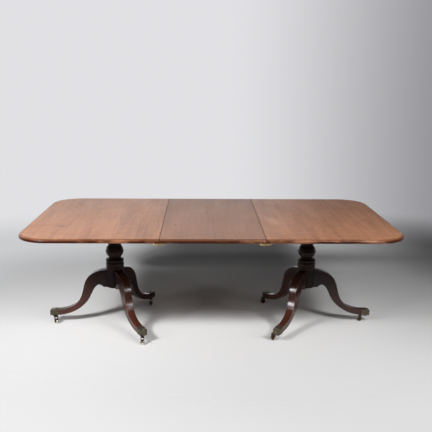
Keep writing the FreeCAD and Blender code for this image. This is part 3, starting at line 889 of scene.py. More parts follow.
@dataclass
class TableTop:
    """The two ends and the leaf, cut from one moulded outline."""

    workshop: Workshop
    corner_radius: float = 185 * MM
    corner_steps: int = 40
    nose_radius: float = 12 * MM
    nose_steps: int = 9
    under_radius: float = 5 * MM
    under_steps: int = 4
    shelf: float = 2.4 * MM
    quirk_depth: float = 2.6 * MM
    quirk_lean: float = 0.01 * MM
    quirk_dirt_and_shade: float = 0.9
    field_edge: float = 0.8 * MM
    field_steps: int = 3
    rubbed_border: float = 2 * MM
    border_rub: float = 0.25
    border_fade: float = 4 * MM
    joint_arris: float = 1 * MM
    joint_steps: int = 2
    joint_grime: float = 4.5 * MM
    joint_length: float = 500 * MM
    # The painted edge shade is darkest at the ends and the back, and lighter at the front, which the lamps
    # light
    side_fall: float = 0.3
    front_lightening: float = 0.25
    bare_below: float = -0.9
    low: Vector = field(
        default_factory=lambda: Vector((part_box("left_end_top")[0].x, *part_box("leaf")[0].yz)))
    high: Vector = field(
        default_factory=lambda: Vector((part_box("right_end_top")[1].x, *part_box("leaf")[1].yz)))

    def facing(self, place: Vector) -> float:
        """How squarely the edge faces the front, where the lamps light it and its painted shade is lighter.

        Args:
            place: a point on the edge.

        Returns:
            From 0 at the back and the two ends of the table to 1 at its front.
        """
        reach = (self.high - self.low) / 2
        off = place - (self.high + self.low) / 2
        out_x = max(0.0, abs(off.x) - reach.x + self.corner_radius)
        out_y = max(0.0, -off.y - reach.y + self.corner_radius)
        return out_y / math.hypot(out_x, out_y) if out_y else 0.0

    def step_in(self, mesh: Shape, face: Face, inward: float, out: float, edge: float = 0.0,
                grime: float = 0.0, rub: float = 0.0) -> None:
        """Adds one more loop to the edge moulding.

        Args:
            mesh: the top.
            face: the flat face that the moulding runs round.
            inward: how far the new loop lies inside the last.
            out: how far it stands out from the last.
            edge: how much painted edge shade the loop has.
            grime: how much dirt and painted shade lies on it.
            rub: how rubbed it is.
        """
        bmesh.ops.inset_region(mesh, faces=[face], thickness=inward, depth=out, use_even_offset=True,
                               use_boundary=True)
        mark(mesh, "grime", face.verts[:], grime)
        mark(mesh, "rub", face.verts[:], rub)
        for vert in face.verts:
            mark(mesh, "edge", [vert], edge ** (self.side_fall + self.facing(vert.co) * self.front_lightening))

    def quarter(self, mesh: Shape, face: Face, radius: float, steps: int, dark: float = 0.0) -> None:
        """Rounds the edge of a flat face by a quarter circle.

        Args:
            mesh: the top.
            face: the flat face.
            radius: the circle's radius.
            steps: how many loops it takes.
            dark: how much painted edge shade the outermost loop has; it fades over the rounding.
        """
        for step in range(1, steps + 1):
            last, now = (step - 1) * math.pi / 2 / steps, step * math.pi / 2 / steps
            self.step_in(mesh, face, radius * (math.cos(last) - math.cos(now)),
                         radius * (math.sin(now) - math.sin(last)), edge=dark * max(0.0, math.cos(now)))

    def moulded(self) -> Shape:
        """The whole top in one piece, with its thumb moulding.

        Returns:
            Its bmesh.
        """
        size = self.high - self.low
        mesh = new_shape()
        # It starts one unit square, so that it can be scaled by the top's size
        bmesh.ops.create_grid(mesh, x_segments=1, y_segments=1, size=0.5)
        bmesh.ops.scale(mesh, vec=(size.x, size.y, 1), verts=mesh.verts[:])
        bmesh.ops.bevel(mesh, geom=mesh.verts[:], offset=self.corner_radius, offset_type="OFFSET",
                        segments=self.corner_steps, profile=0.5, affect="VERTICES", material=-1)
        move(mesh, (0, 0, self.low.z + self.under_radius))
        under = mesh.faces[:][0]
        straight = size.z - self.quirk_depth - self.nose_radius - self.under_radius
        over = thicken(mesh, under, (0, 0, straight))
        face_out(mesh)
        # Every vertex starts in full painted edge shade; the loops inside the edge take it off again
        mark(mesh, "edge", mesh.verts[:])
        self.quarter(mesh, under, self.under_radius, self.under_steps, dark=1.0)
        self.quarter(mesh, over, self.nose_radius, self.nose_steps, dark=1.0)
        # The shelf and the quirk take dirt and painted shade
        self.step_in(mesh, over, self.shelf, 0.0, grime=1.0)
        self.step_in(mesh, over, self.quirk_lean, self.quirk_depth - self.field_edge, grime=self.quirk_dirt_and_shade)
        self.quarter(mesh, over, self.field_edge, self.field_steps)
        self.step_in(mesh, over, self.rubbed_border, 0.0, rub=self.border_rub)
        self.step_in(mesh, over, self.border_fade, 0.0)
        return mesh

    def cut_at(self, mesh: Shape, x: float, away: int) -> None:
        """Cuts the top square across and eases the new arris.

        Args:
            mesh: the top, of which one side is kept.
            x: where the cut goes.
            away: the sign of the side that is taken away.
        """
        rim = cut(mesh, (x, 0, 0), (away, 0, 0), clear=True)
        bmesh.ops.edgenet_fill(mesh, edges=rim)
        cut(mesh, (x - away * self.joint_grime, 0, 0), (away, 0, 0), clear=False)
        at_cut = edges_where(mesh, lambda place: abs(place.x - x) < TINY)
        ease(mesh, [edge for edge in at_cut if edge.calc_length() > self.joint_length], self.joint_arris,
             self.joint_steps)
        mark(mesh, "grime", [vert for vert in mesh.verts if abs(vert.co.x - x) < 2 * self.joint_arris])

    def dress(self, mesh: Shape, name: str, finish: WoodFinish, body: str, node: str) -> None:
        """Leaves a top's underside bare and polishes the rest.

        Args:
            mesh: the top; it is used up.
            name: the piece's name.
            finish: its polish.
            body: the body that it rides on.
            node: the node that it replaces.
        """
        face_out(mesh)
        for face in mesh.faces:
            face.material_index = int(face.normal.z < self.bare_below)
        self.workshop.piece(name, mesh, [finish, RAW_MAHOGANY], body, "mahogany_top", node)

    def build(self) -> None:
        """Makes and dresses the three tops."""
        whole = self.moulded()
        for side in Side:
            node = side.word + "_end_top"
            low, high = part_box(node)
            end = whole.copy()
            self.cut_at(end, low.x if side is Side.RIGHT else high.x, -side.value)
            self.dress(end, side.word + "_end", END_MAHOGANY, ROOT_BODY, node)
        low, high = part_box("leaf")
        self.cut_at(whole, low.x, -1)
        self.cut_at(whole, high.x, 1)
        self.dress(whole, "loose_leaf", LEAF_MAHOGANY, "leaf", "leaf")


@dataclass
class TurnedLine:
    """Half the outline of a turned piece, drawn upwards, with the dirt and painted shade that lie on it and
    its wear, which on the pillar also paints thin glints.
    """

    points: list[tuple[Vector, float, float]] = field(default_factory=list)

    def to(self, radius: float, height: float, dirt: float = 0.0, rub: float = 0.0) -> None:
        """Goes straight to a radius and a height."""
        self.points.append((Vector((radius, height)), dirt, rub))

    def round_to(self, middle: Pair, end: Pair, steps: int, dirt: float = 0.0, end_dirt_and_shade: float = 0.0,
                 rub: float = 0.0) -> None:
        """Goes in a round line to a radius and a height.

        Args:
            middle: a point on the way, as radius and height.
            end: the point that it goes to.
            steps: how many stretches to divide it into.
            dirt: how much dirt and painted shade lies on the way.
            end_dirt_and_shade: how much dirt and painted shade lies at the end.
            rub: how rubbed the way is at its middle; on the pillar the rubbing also paints thin glints.
        """
        line = arc_between(self.points[-1][0], Vector(middle), Vector(end), steps)
        for step, point in enumerate(line[:-1], 1):
            self.points.append((point, dirt, rub * math.sin(math.pi * step / steps)))
        self.points.append((line[-1], end_dirt_and_shade, 0.0))


@dataclass
class Pillar:
    """One turned pillar, with the hub that its legs are let into."""

    workshop: Workshop
    side: Side
    axis_x: float
    leg_turns: list[float]
    hub_bottom: float = HUB_BOTTOM
    hub_radius: float = 55 * MM
    hub_flat: float = HUB_FLAT
    hub_arris: float = 1.2 * MM
    hub_arris_steps: int = 2
    leg_top: float = LEG_TOP
    shoulder_ledge: float = 4 * MM
    # The darkening in the hollows and by the rings below is dirt and painted shade; the rubbing on the
    # bands, the torus and the ring is wear and painted glints
    shoulder_dirt_and_shade: float = 0.6
    ledge_dirt_and_shade: float = 0.8
    band_radius: float = 57.5 * MM
    band_height: float = 19 * MM
    band_rub_and_glint: float = 0.6
    foot_dirt_and_shade: float = 0.3
    foot_rub_and_glint: float = 0.5
    groove_height: float = 4 * MM
    groove_depth: float = 3 * MM
    groove_steps: int = 6
    groove_dirt_and_shade: float = 1.0
    lip_dirt_and_shade: float = 0.4
    torus_height: float = 21 * MM
    torus_proud: float = 6.5 * MM
    torus_steps: int = 14
    torus_rub_and_glint: float = 0.4
    waist_height: float = 17 * MM
    waist_radius: float = 39 * MM
    waist_steps: int = 10
    waist_dirt_and_shade: float = 0.35
    waist_end_dirt_and_shade: float = 0.9
    bulb_foot: float = 41 * MM
    bulb_lower: float = 27 * MM
    bulb_ring: float = 11 * MM
    ring_proud: float = 4 * MM
    ring_steps: int = 8
    ring_dirt_and_shade: float = 1.0
    ring_rub_and_glint: float = 0.7
    bulb_upper: float = 33 * MM
    bulb_radius: float = 54.5 * MM
    bulb_top_dirt_and_shade: float = 0.8
    neck_radius: float = 40.5 * MM
    neck_dirt_and_shade: float = 0.2
    collar_height: float = 22 * MM
    collar_radius: float = 58 * MM
    collar_steps: int = 10
    tenon_radius: float = 32 * MM
    lower_swell: Pair = (0.78, 0.45)
    lower_steps: int = 10
    upper_swell: Pair = (0.72, 0.6)
    upper_steps: int = 12
    collar_flare: Pair = (0.3, 0.6)
    eased: float = 1 * MM
    turns: int = 112

    @staticmethod
    def between(shares: Pair, low: Pair, high: Pair) -> Pair:
        """The radius and height that lie given shares of the way from one pair to another."""
        return (low[0] + shares[0] * (high[0] - low[0]), low[1] + shares[1] * (high[1] - low[1]))

    def profile(self) -> list[tuple[Vector, float, float]]:
        """Half the pillar's outline above the hub.

        Returns:
            Each point as radius and height, with how much dirt and painted shade lies there and how rubbed
            it is; the rubbing also paints thin glints.
        """
        pillar_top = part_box(self.side.word + "_pillar")[1].z
        block_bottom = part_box(self.side.word + "_block")[0].z
        band_bottom = self.leg_top + self.shoulder_ledge
        groove_bottom = band_bottom + self.band_height
        groove_top = groove_bottom + self.groove_height
        notch = groove_top + self.band_height
        torus_bottom = notch + self.groove_height
        torus_top = torus_bottom + self.torus_height
        bulb_bottom = torus_top + self.waist_height
        ring_bottom = bulb_bottom + self.bulb_lower
        ring_top = ring_bottom + self.bulb_ring
        bulb_top = ring_top + self.bulb_upper
        collar_bottom = block_bottom - self.collar_height
        band, bulb, neck = self.band_radius, self.bulb_radius, self.neck_radius
        torus_foot = band - self.torus_proud
        groove_lip = band - self.eased / 2
        line = TurnedLine()
        to, round_to = line.to, line.round_to
        to(0.0, self.leg_top)
        to(self.hub_radius, self.leg_top, self.shoulder_dirt_and_shade)
        to(self.hub_radius, band_bottom, self.ledge_dirt_and_shade)
        to(band - self.eased, band_bottom, self.foot_dirt_and_shade)
        to(band, band_bottom + self.eased, rub=self.foot_rub_and_glint)
        to(band, groove_bottom - self.eased, rub=self.band_rub_and_glint)
        to(groove_lip, groove_bottom, self.lip_dirt_and_shade)
        round_to((band - self.groove_depth, (groove_bottom + groove_top) / 2), (groove_lip, groove_top),
                 self.groove_steps, self.groove_dirt_and_shade, self.lip_dirt_and_shade)
        to(band, groove_top + self.eased, rub=self.band_rub_and_glint)
        to(band, notch - self.eased, rub=self.band_rub_and_glint)
        to(band - self.eased, notch, self.lip_dirt_and_shade)
        to(torus_foot, notch, self.groove_dirt_and_shade)
        to(torus_foot, torus_bottom, self.groove_dirt_and_shade)
        round_to((band, (torus_bottom + torus_top) / 2), (torus_foot, torus_top), self.torus_steps,
                 end_dirt_and_shade=self.waist_end_dirt_and_shade, rub=self.torus_rub_and_glint)
        round_to((self.waist_radius, (torus_top + bulb_bottom) / 2), (self.bulb_foot, bulb_bottom),
                 self.waist_steps, self.waist_dirt_and_shade, self.waist_end_dirt_and_shade)
        round_to(self.between(self.lower_swell, (self.bulb_foot, bulb_bottom), (bulb, ring_bottom)),
                 (bulb, ring_bottom), self.lower_steps, end_dirt_and_shade=self.ring_dirt_and_shade)
        round_to((bulb + self.ring_proud, (ring_bottom + ring_top) / 2), (bulb, ring_top), self.ring_steps,
                 end_dirt_and_shade=self.ring_dirt_and_shade, rub=self.ring_rub_and_glint)
        round_to(self.between(self.upper_swell, (neck, ring_top), (bulb, bulb_top)), (neck, bulb_top),
                 self.upper_steps, end_dirt_and_shade=self.bulb_top_dirt_and_shade)
        to(neck, collar_bottom, self.neck_dirt_and_shade)
        round_to(self.between(self.collar_flare, (neck, collar_bottom), (self.collar_radius, block_bottom)),
                 (self.collar_radius, block_bottom), self.collar_steps)
        to(self.tenon_radius, block_bottom)
        to(self.tenon_radius, pillar_top)
        to(0.0, pillar_top)
        return line.points

    def hub(self, mesh: Shape) -> None:
        """Adds the hub, with a flat for each leg.

        Args:
            mesh: the pillar.
        """
        bmesh.ops.create_circle(mesh, cap_ends=True, segments=self.turns, radius=self.hub_radius)
        for turn in self.leg_turns:
            way = Vector((math.cos(turn), math.sin(turn), 0))
            cut(mesh, way * self.hub_flat, way, clear=True)
        move(mesh, (0, 0, self.hub_bottom))
        thicken(mesh, mesh.faces[:][0], (0, 0, self.leg_top - self.hub_bottom))
        lowest = edges_where(mesh, lambda place: place.z < self.hub_bottom + TINY)
        ease(mesh, lowest, self.hub_arris, self.hub_arris_steps)

    def build(self) -> None:
        """Makes and dresses the pillar."""
        mesh = new_shape()
        self.hub(mesh)
        line = []
        for point, dirt, rub in self.profile():
            line.append(mesh.verts.new((point.x, 0, point.y)))
            mark(mesh, "grime", line[-1:], dirt)
            mark(mesh, "rub", line[-1:], rub)
        edges = [mesh.edges.new(pair) for pair in zip(line, line[1:])]
        turn_round(mesh, line, edges, (0, 0, 0), (0, 0, 1), self.turns)
        carry(mesh, Matrix(((0, 0, 1), (1, 0, 0), (0, 1, 0))))
        move(mesh, (self.axis_x, 0, 0))
        self.workshop.piece(self.side.word + "_turned_pillar", mesh, [PILLAR_MAHOGANY], ROOT_BODY,
                            "mahogany_base", self.side.word + "_pillar")


@dataclass
class Leg:
    """One swept leg and the brass cap on its toe."""

    workshop: Workshop
    name: str
    pillar_x: float
    turn: float
    hub_flat: float = HUB_FLAT
    hub_bottom: float = HUB_BOTTOM
    leg_top: float = LEG_TOP
    arch_flat: float = 28 * MM
    arch_step: float = 4 * MM
    width_at_hub: float = 54 * MM
    width_at_toe: float = 41 * MM
    top_line: tuple[Pair, ...] = (
        (0, 1), (0.198, 0.959), (0.406, 0.777), (0.502, 0.43), (0.627, 0.156), (0.83, 0.037), (1, 0))
    top_ways: tuple[Pair, Pair] = ((1, -0.06), (1, -0.12))
    under_line: tuple[Pair, ...] = (
        (1, 0), (0.842, 0.036), (0.56, 0.254), (0.354, 0.637), (0.23, 1.016), (0.161, 1.085))
    under_ways: tuple[Pair, Pair] = ((-1, 0.06), (-1, -0.45))
    steps: int = 56
    arris: float = 2 * MM
    arris_steps: int = 3
    arris_rub: float = 0.35
    under_arris: float = 1.6 * MM
    under_arris_steps: int = 2
    under_arris_rub: float = 0.3
    dark_reach: float = 210 * MM
    grain_shift: Pair = (0.37, 0.11)
    cap_finishes: tuple[MetalFinish, MetalFinish] = (CAP_BRASS, RIM_BRASS)
    cap_mouth: float = 375 * MM
    cap_end: float = 425 * MM
    cap_low: float = 51.5 * MM
    cap_height: float = 39 * MM
    cap_end_height: float = 34 * MM
    cap_width: float = 44 * MM
    cap_proud: float = 1.5 * MM
    cap_wall: float = 2.5 * MM
    cap_hollow: float = 0.9
    cap_corner: float = 4.5 * MM
    cap_corner_steps: int = 5
    cap_arris: float = 1 * MM
    cap_arris_steps: int = 3
    band_width: float = 3.4 * MM
    band_proud: float = 0.7 * MM
    band_arris: float = 0.35 * MM
    band_arris_steps: int = 2
    boss_radius: float = 13 * MM
    boss_height: float = 3 * MM
    boss_taper: float = 0.95
    boss_steps: int = 48

    def spot(self, share: float, up: float, toe: float, hub: float) -> Vector:
        """A point of the outline, given shares of the way out to the toe and of the rise to the hub."""
        return Vector((self.hub_flat + share * (self.cap_mouth - self.hub_flat), toe + up * (hub - toe)))

    def side_view(self) -> list[Vector]:
        """The leg's outline, from the shoulder along the top to the toe and back underneath.

        Returns:
            Its corners in order.
        """
        toe_top = self.cap_low + self.cap_height - self.cap_proud
        toe_bottom = self.cap_low + self.cap_proud
        top = [self.spot(share, up, toe_top, self.leg_top) for share, up in self.top_line]
        cusp = Vector((self.hub_flat + self.arch_flat, self.hub_bottom + self.arch_step))
        under = [self.spot(share, up, toe_bottom, self.hub_bottom) for share, up in self.under_line]
        line = swept_line(top, *self.top_ways, self.steps)
        line += swept_line(under + [cusp], *self.under_ways, self.steps)
        line += [Vector((cusp.x, self.hub_bottom)), Vector((self.hub_flat, self.hub_bottom))]
        return [Vector((point.x, 0, point.y)) for point in line]

    def swept(self) -> Shape:
        """The leg's wood, with its pillar at the origin and the leg along +X.

        Returns:
            Its bmesh.
        """
        mesh = new_shape()
        face = outline_face(mesh, self.side_view())
        # It starts one unit wide, so that each vertex can be multiplied by the leg's width there
        move(mesh, (0, -0.5, 0))
        thicken(mesh, face, (0, 1, 0))
        face_out(mesh)
        # Each vertex takes painted shade near the hub, where the top shadows the leg, fading out along the
        # leg
        reach = self.cap_mouth - self.hub_flat
        for vert in mesh.verts:
            out = vert.co.x - self.hub_flat
            vert.co.y *= self.width_at_hub + out / reach * (self.width_at_toe - self.width_at_hub)
            mark(mesh, "edge", [vert], max(0.0, 1 - out / self.dark_reach))
        upper, lower = [], []
        for strip in (face for face in mesh.faces if len(face.verts) == 4):
            for edge in strip.edges:
                one, other = (vert.co for vert in edge.verts)
                past_hub = max(one.x, other.x) > self.hub_flat + TINY
                before_cap = min(one.x, other.x) < self.cap_mouth - TINY
                if past_hub and before_cap and abs(one.y - other.y) < self.width_at_toe / 2:
                    (upper if strip.normal.z > 0 else lower).append(edge)
        ease(mesh, upper, self.arris, self.arris_steps, self.arris_rub)
        still_there = [edge for edge in lower if edge.is_valid]
        ease(mesh, still_there, self.under_arris, self.under_arris_steps, self.under_arris_rub)
        return mesh

    def toe_cap(self) -> Shape:
        """The brass box on the toe: open at its mouth, which a raised band strengthens, with a boss below.

        Returns:
            Its bmesh, in the same place as the leg; the band's faces have the second material.
        """
        mesh = bmesh.new()
        half = self.cap_width / 2 + self.band_proud
        low, high = self.cap_low - self.band_proud, self.cap_low + self.cap_height + self.band_proud
        corners = [(-half, low), (half, low), (half, high), (-half, high)]
        rim = outline_face(mesh, [Vector((self.cap_mouth, y, z)) for y, z in corners])
        thicken(mesh, rim, (self.band_width, 0, 0))
        face_out(mesh)
        ahead = max(mesh.faces, key=lambda face: face.calc_center_median().x)
        bmesh.ops.inset_region(mesh, faces=[ahead], thickness=self.band_proud, use_even_offset=True)
        band_end = self.cap_mouth + self.band_width
        end = thicken(mesh, ahead, (self.cap_end - band_end, 0, 0))
        for vert in end.verts:
            vert.co.z = min(vert.co.z, self.cap_low + self.cap_end_height)
        face_out(mesh)
        at_end = edges_where(mesh, lambda place: place.x > self.cap_end - TINY)
        lowest = edges_where(mesh, lambda place: place.z < self.cap_low + TINY)
        ease(mesh, [edge for edge in at_end if edge not in lowest], self.cap_corner, self.cap_corner_steps)
        box = [edge for edge in corner_edges(mesh)
               if max(vert.co.x for vert in edge.verts) > band_end + TINY]
        ease(mesh, box, self.cap_arris, self.cap_arris_steps)
        band = [edge for edge in corner_edges(mesh)
                if edge.is_convex and max(vert.co.x for vert in edge.verts) < band_end + TINY]
        ease(mesh, band, self.band_arris, self.band_arris_steps)
        for face in mesh.faces:
            face.material_index = int(face.calc_center_median().x < band_end + TINY)
        mouth = min(mesh.faces, key=lambda face: face.calc_center_median().x)
        bmesh.ops.inset_region(mesh, faces=[mouth], thickness=self.band_proud + self.cap_proud,
                               use_even_offset=True)
        bmesh.ops.inset_region(mesh, faces=[mouth], thickness=self.cap_wall - self.cap_proud,
                               depth=self.cap_hollow * (self.cap_mouth - self.cap_end), use_even_offset=True)
        boss = bmesh.ops.create_cone(mesh, cap_ends=True, segments=self.boss_steps,
                                     radius1=self.boss_taper * self.boss_radius, radius2=self.boss_radius,
                                     depth=self.boss_height)
        middle = ((self.cap_mouth + self.cap_end) / 2, 0, self.cap_low - self.boss_height / 2)
        bmesh.ops.translate(mesh, verts=boss["verts"], vec=middle)
        return mesh

    def build(self) -> None:
        """Makes and dresses the leg and its cap."""
        leg, cap = self.swept(), self.toe_cap()
        fall = math.atan2(self.leg_top - self.cap_low, self.cap_mouth - self.hub_flat)
        shift = [share * self.turn for share in self.grain_shift]
        carry(leg, Matrix.Translation((*shift, 0.0)) @ Matrix.Rotation(-fall, 4, "Y"))
        place = standing(self.pillar_x, 0, self.turn)
        for mesh in (leg, cap):
            bmesh.ops.transform(mesh, matrix=place, verts=mesh.verts[:])
        self.workshop.piece(self.name + "_swept_leg", leg, [LEG_MAHOGANY], ROOT_BODY, "mahogany_base",
                            self.name + "_leg")
        self.workshop.piece(self.name + "_brass_toe", cap, self.cap_finishes, ROOT_BODY, "cap_brass",
                            self.name + "_toe_cap")


@dataclass
class Castor:
    """One castor: a fork that turns under its toe and the wheel in it."""

    workshop: Workshop
    name: str
    pintle: Vector
    axle: Vector
    wheel_radius: float = 16.5 * MM
    wheel_width: float = 14 * MM
    wheel_steps: int = 72
    wheel_finish: MetalFinish = WHEEL_BRASS
    hub_radius: float = 6.5 * MM
    hub_gap: float = 0.3 * MM
    hub_eased: float = 0.6 * MM
    bore: float = 3.05 * MM
    rim: float = 4.5 * MM
    rim_eased: float = 0.5 * MM
    web_sink: float = 2 * MM
    web_eased: float = 0.8 * MM
    tread_edge: float = 3 * MM
    tread_steps: int = 6
    plate_low: float = 43.2 * MM
    plate_high: float = 48.2 * MM
    disc_radius: float = 13 * MM
    disc_steps: int = 40
    cheek: float = 3.2 * MM
    eye_radius: float = 7 * MM
    eye_steps: int = 16
    root_share: float = 2.2
    bend_share: float = 0.62
    bend_steps: int = 10
    fork_arris: float = 0.7 * MM
    fork_arris_steps: int = 2

    @property
    def trail(self) -> float:
        """How far the wheel runs behind the pintle."""
        return (self.axle - self.pintle).xy.length

    @property
    def fork_width(self) -> float:
        """The fork's width over both cheeks."""
        return self.wheel_width + 4 * self.hub_gap + 2 * self.cheek

    def place(self) -> Matrix:
        """Where the castor stands, with its own X along the way that it trails."""
        way = (self.axle - self.pintle).xy
        return standing(self.pintle.x, self.pintle.y, math.atan2(way.y, way.x))

    def cheek_outline(self) -> list[Vector]:
        """The side view of a cheek.

        Returns:
            Its corners in order.
        """
        near, far = self.trail - self.eye_radius, self.trail + self.eye_radius
        root = self.trail - self.root_share * self.eye_radius
        bend = Vector((root + self.bend_share * (near - root), (self.plate_high + self.wheel_radius) / 2))
        line = [Vector((root, self.plate_high)), Vector((far, self.plate_high)),
                Vector((far, self.wheel_radius))]
        line += arc_between(line[-1], Vector((self.trail, self.wheel_radius - self.eye_radius)),
                            Vector((near, self.wheel_radius)), self.eye_steps)
        line += arc_between(line[-1], bend, line[0], self.bend_steps)[:-1]
        return line

    def fork(self) -> Shape:
        """The fork: a plate on the pintle and two cheeks.

        Returns:
            Its bmesh, with the pintle at the origin.
        """
        mesh = bmesh.new()
        half = self.fork_width / 2
        far = self.trail + self.eye_radius
        for low_y in (-half, half - self.cheek):
            face = outline_face(mesh, [Vector((point.x, low_y, point.y)) for point in self.cheek_outline()])
            thicken(mesh, face, (0, self.cheek, 0))
        first = Vector((math.sqrt(max(0.0, self.disc_radius ** 2 - half ** 2)), half))
        line = [Vector((far, -half)), Vector((far, half)), first]
        line += arc_between(first, Vector((-self.disc_radius, 0)), Vector((first.x, -half)), self.disc_steps)
        face = outline_face(mesh, [Vector((point.x, point.y, self.plate_low)) for point in line])
        thicken(mesh, face, (0, 0, self.plate_high - self.plate_low))
        face_out(mesh)
        ease(mesh, corner_edges(mesh), self.fork_arris, self.fork_arris_steps)
        return mesh

    def wheel_side(self) -> list[Vector]:
        """One side of the wheel's section, from the bore to the tread.

        Returns:
            Its points, as radius and distance from the wheel's middle.
        """
        half = self.wheel_width / 2
        hub_half = half + self.hub_gap
        web = half - self.web_sink
        inside = self.wheel_radius - self.rim
        side = [Vector((self.bore, hub_half)),
                Vector((self.hub_radius - self.hub_eased, hub_half)),
                Vector((self.hub_radius, hub_half - self.hub_eased)),
                Vector((self.hub_radius, web + self.web_eased)),
                Vector((self.hub_radius + self.web_eased, web)),
                Vector((inside - self.web_eased, web)),
                Vector((inside, web + self.web_eased)),
                Vector((inside, half - self.rim_eased)),
                Vector((inside + self.rim_eased, half)),
                Vector((self.wheel_radius - self.tread_edge, half))]
        corner = self.tread_edge * (1 - math.sqrt(0.5))
        return side + arc_between(side[-1], Vector((self.wheel_radius - corner, half - corner)),
                                  Vector((self.wheel_radius, half - self.tread_edge)), self.tread_steps)

    def wheel(self) -> Shape:
        """The wheel: rounded tread, sunk web and a hub.

        Returns:
            Its bmesh, with the pintle at the origin.
        """
        side = self.wheel_side()
        section = side + [Vector((point.x, -point.y)) for point in reversed(side)]
        mesh = new_shape()
        # Every point off the tread takes dirt and painted shade, so the wheel's sunk sides are dark and its
        # tread clean
        ring = []
        for point in section:
            ring.append(mesh.verts.new((self.trail + point.x, point.y, self.wheel_radius)))
            mark(mesh, "grime", ring[-1:], float(point.x < self.wheel_radius - self.tread_edge / 2))
        edges = [mesh.edges.new(pair) for pair in zip(ring, ring[1:] + ring[:1])]
        turn_round(mesh, ring, edges, (self.trail, 0, self.wheel_radius), (0, 1, 0), self.wheel_steps)
        return mesh

    def build(self) -> None:
        """Makes and dresses the fork and the wheel."""
        pieces = (("fork", self.fork(), FORK_BRASS, "_castor"),
                  ("wheel", self.wheel(), self.wheel_finish, "_wheel"))
        for word, mesh, finish, body in pieces:
            bmesh.ops.transform(mesh, matrix=self.place(), verts=mesh.verts[:])
            self.workshop.piece(self.name + "_brass_" + word, mesh, [finish], self.name + body,
                                "castor_brass", self.name + "_castor_" + word)
        self.workshop.dress(self.name + "_castor_axle", FORK_BRASS)


@dataclass
class LeafClip:
    """A flat brass clip bent to a U, which ties the leaf to an end."""

    workshop: Workshop
    name: str
    tine_width: float = 14 * MM
    tip_radius: float = 4 * MM
    tip_steps: int = 6
    eased: float = 0.9 * MM
    eased_steps: int = 3
    bow_crown: float = 5 * MM
    bow_steps: int = 36

    def build(self) -> None:
        """Makes and dresses the clip."""
        low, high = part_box(self.name + "_clip")
        middle = (low + high) / 2
        outward = -1 if middle.y < 0 else 1
        bow_radius = (high.x - low.x) / 2
        edge_y, tip_y = (low.y, high.y) if outward < 0 else (high.y, low.y)
        centre = Vector((middle.x, edge_y - outward * bow_radius, 0))
        mesh = bmesh.new()
        inner_x = low.x + self.tine_width
        corners = [(low.x, low.z), (inner_x, low.z), (inner_x, high.z), (low.x, high.z)]
        section = outline_face(mesh, [Vector((x, centre.y, z)) for x, z in corners])
        bmesh.ops.spin(mesh, geom=[section] + section.edges[:] + section.verts[:], cent=centre,
                       axis=(0, 0, 1), dvec=(0, 0, 0), angle=-outward * math.pi, steps=self.bow_steps,
                       use_duplicate=False)
        for vert in mesh.verts:
            if vert.co.z > middle.z:
                out = max(0.0, outward * (vert.co.y - centre.y)) / bow_radius
                vert.co.z += self.bow_crown * math.sqrt(out)
        ends = [face for face in mesh.faces if all(abs(vert.co.y - centre.y) < TINY for vert in face.verts)]
        for face in ends:
            thicken(mesh, face, (0, tip_y - centre.y, 0))
        face_out(mesh)
        at_tips = edges_where(mesh, lambda place: abs(place.y - tip_y) < TINY)
        upright = [edge for edge in at_tips if abs(edge.verts[0].co.z - edge.verts[1].co.z) > TINY]
        ease(mesh, upright, self.tip_radius, self.tip_steps)
        ease(mesh, corner_edges(mesh), self.eased, self.eased_steps)
        self.workshop.piece(self.name + "_brass_clip", mesh, [CLIP_BRASS], self.name + "_clip", "clip_brass",
                            self.name + "_clip")


@dataclass(frozen=True)
class SoftBox:
    """A soft studio lamp."""

    name: str
    place: Triple
    aim: Triple
    width: float
    height: float
    power: float
    spread: float

    def build(self) -> None:
        """Hangs the lamp and turns it to what it lights."""
        lamp = bpy.data.lights.new(self.name, "AREA")
        lamp.shape = "RECTANGLE"
        lamp.size, lamp.size_y = self.width, self.height
        lamp.energy = self.power
        lamp.spread = math.radians(self.spread)
        made = in_scene(self.name, lamp)
        made.location = self.place
        made.rotation_euler = (Vector(self.aim) - Vector(self.place)).to_track_quat("-Z", "Y").to_euler()
        made.visible_camera = False


@dataclass(frozen=True)
class Sweep:
    """A colour of the backdrop that changes from left to right."""

    left: Triple
    right: Triple
    span: Pair

    def paint(self, tree: NodeTree, across: Socket) -> Socket:
        """Paints it along the direction from left to right."""
        return tree.tint(tree.spread(across, *self.span), self.left, self.right)


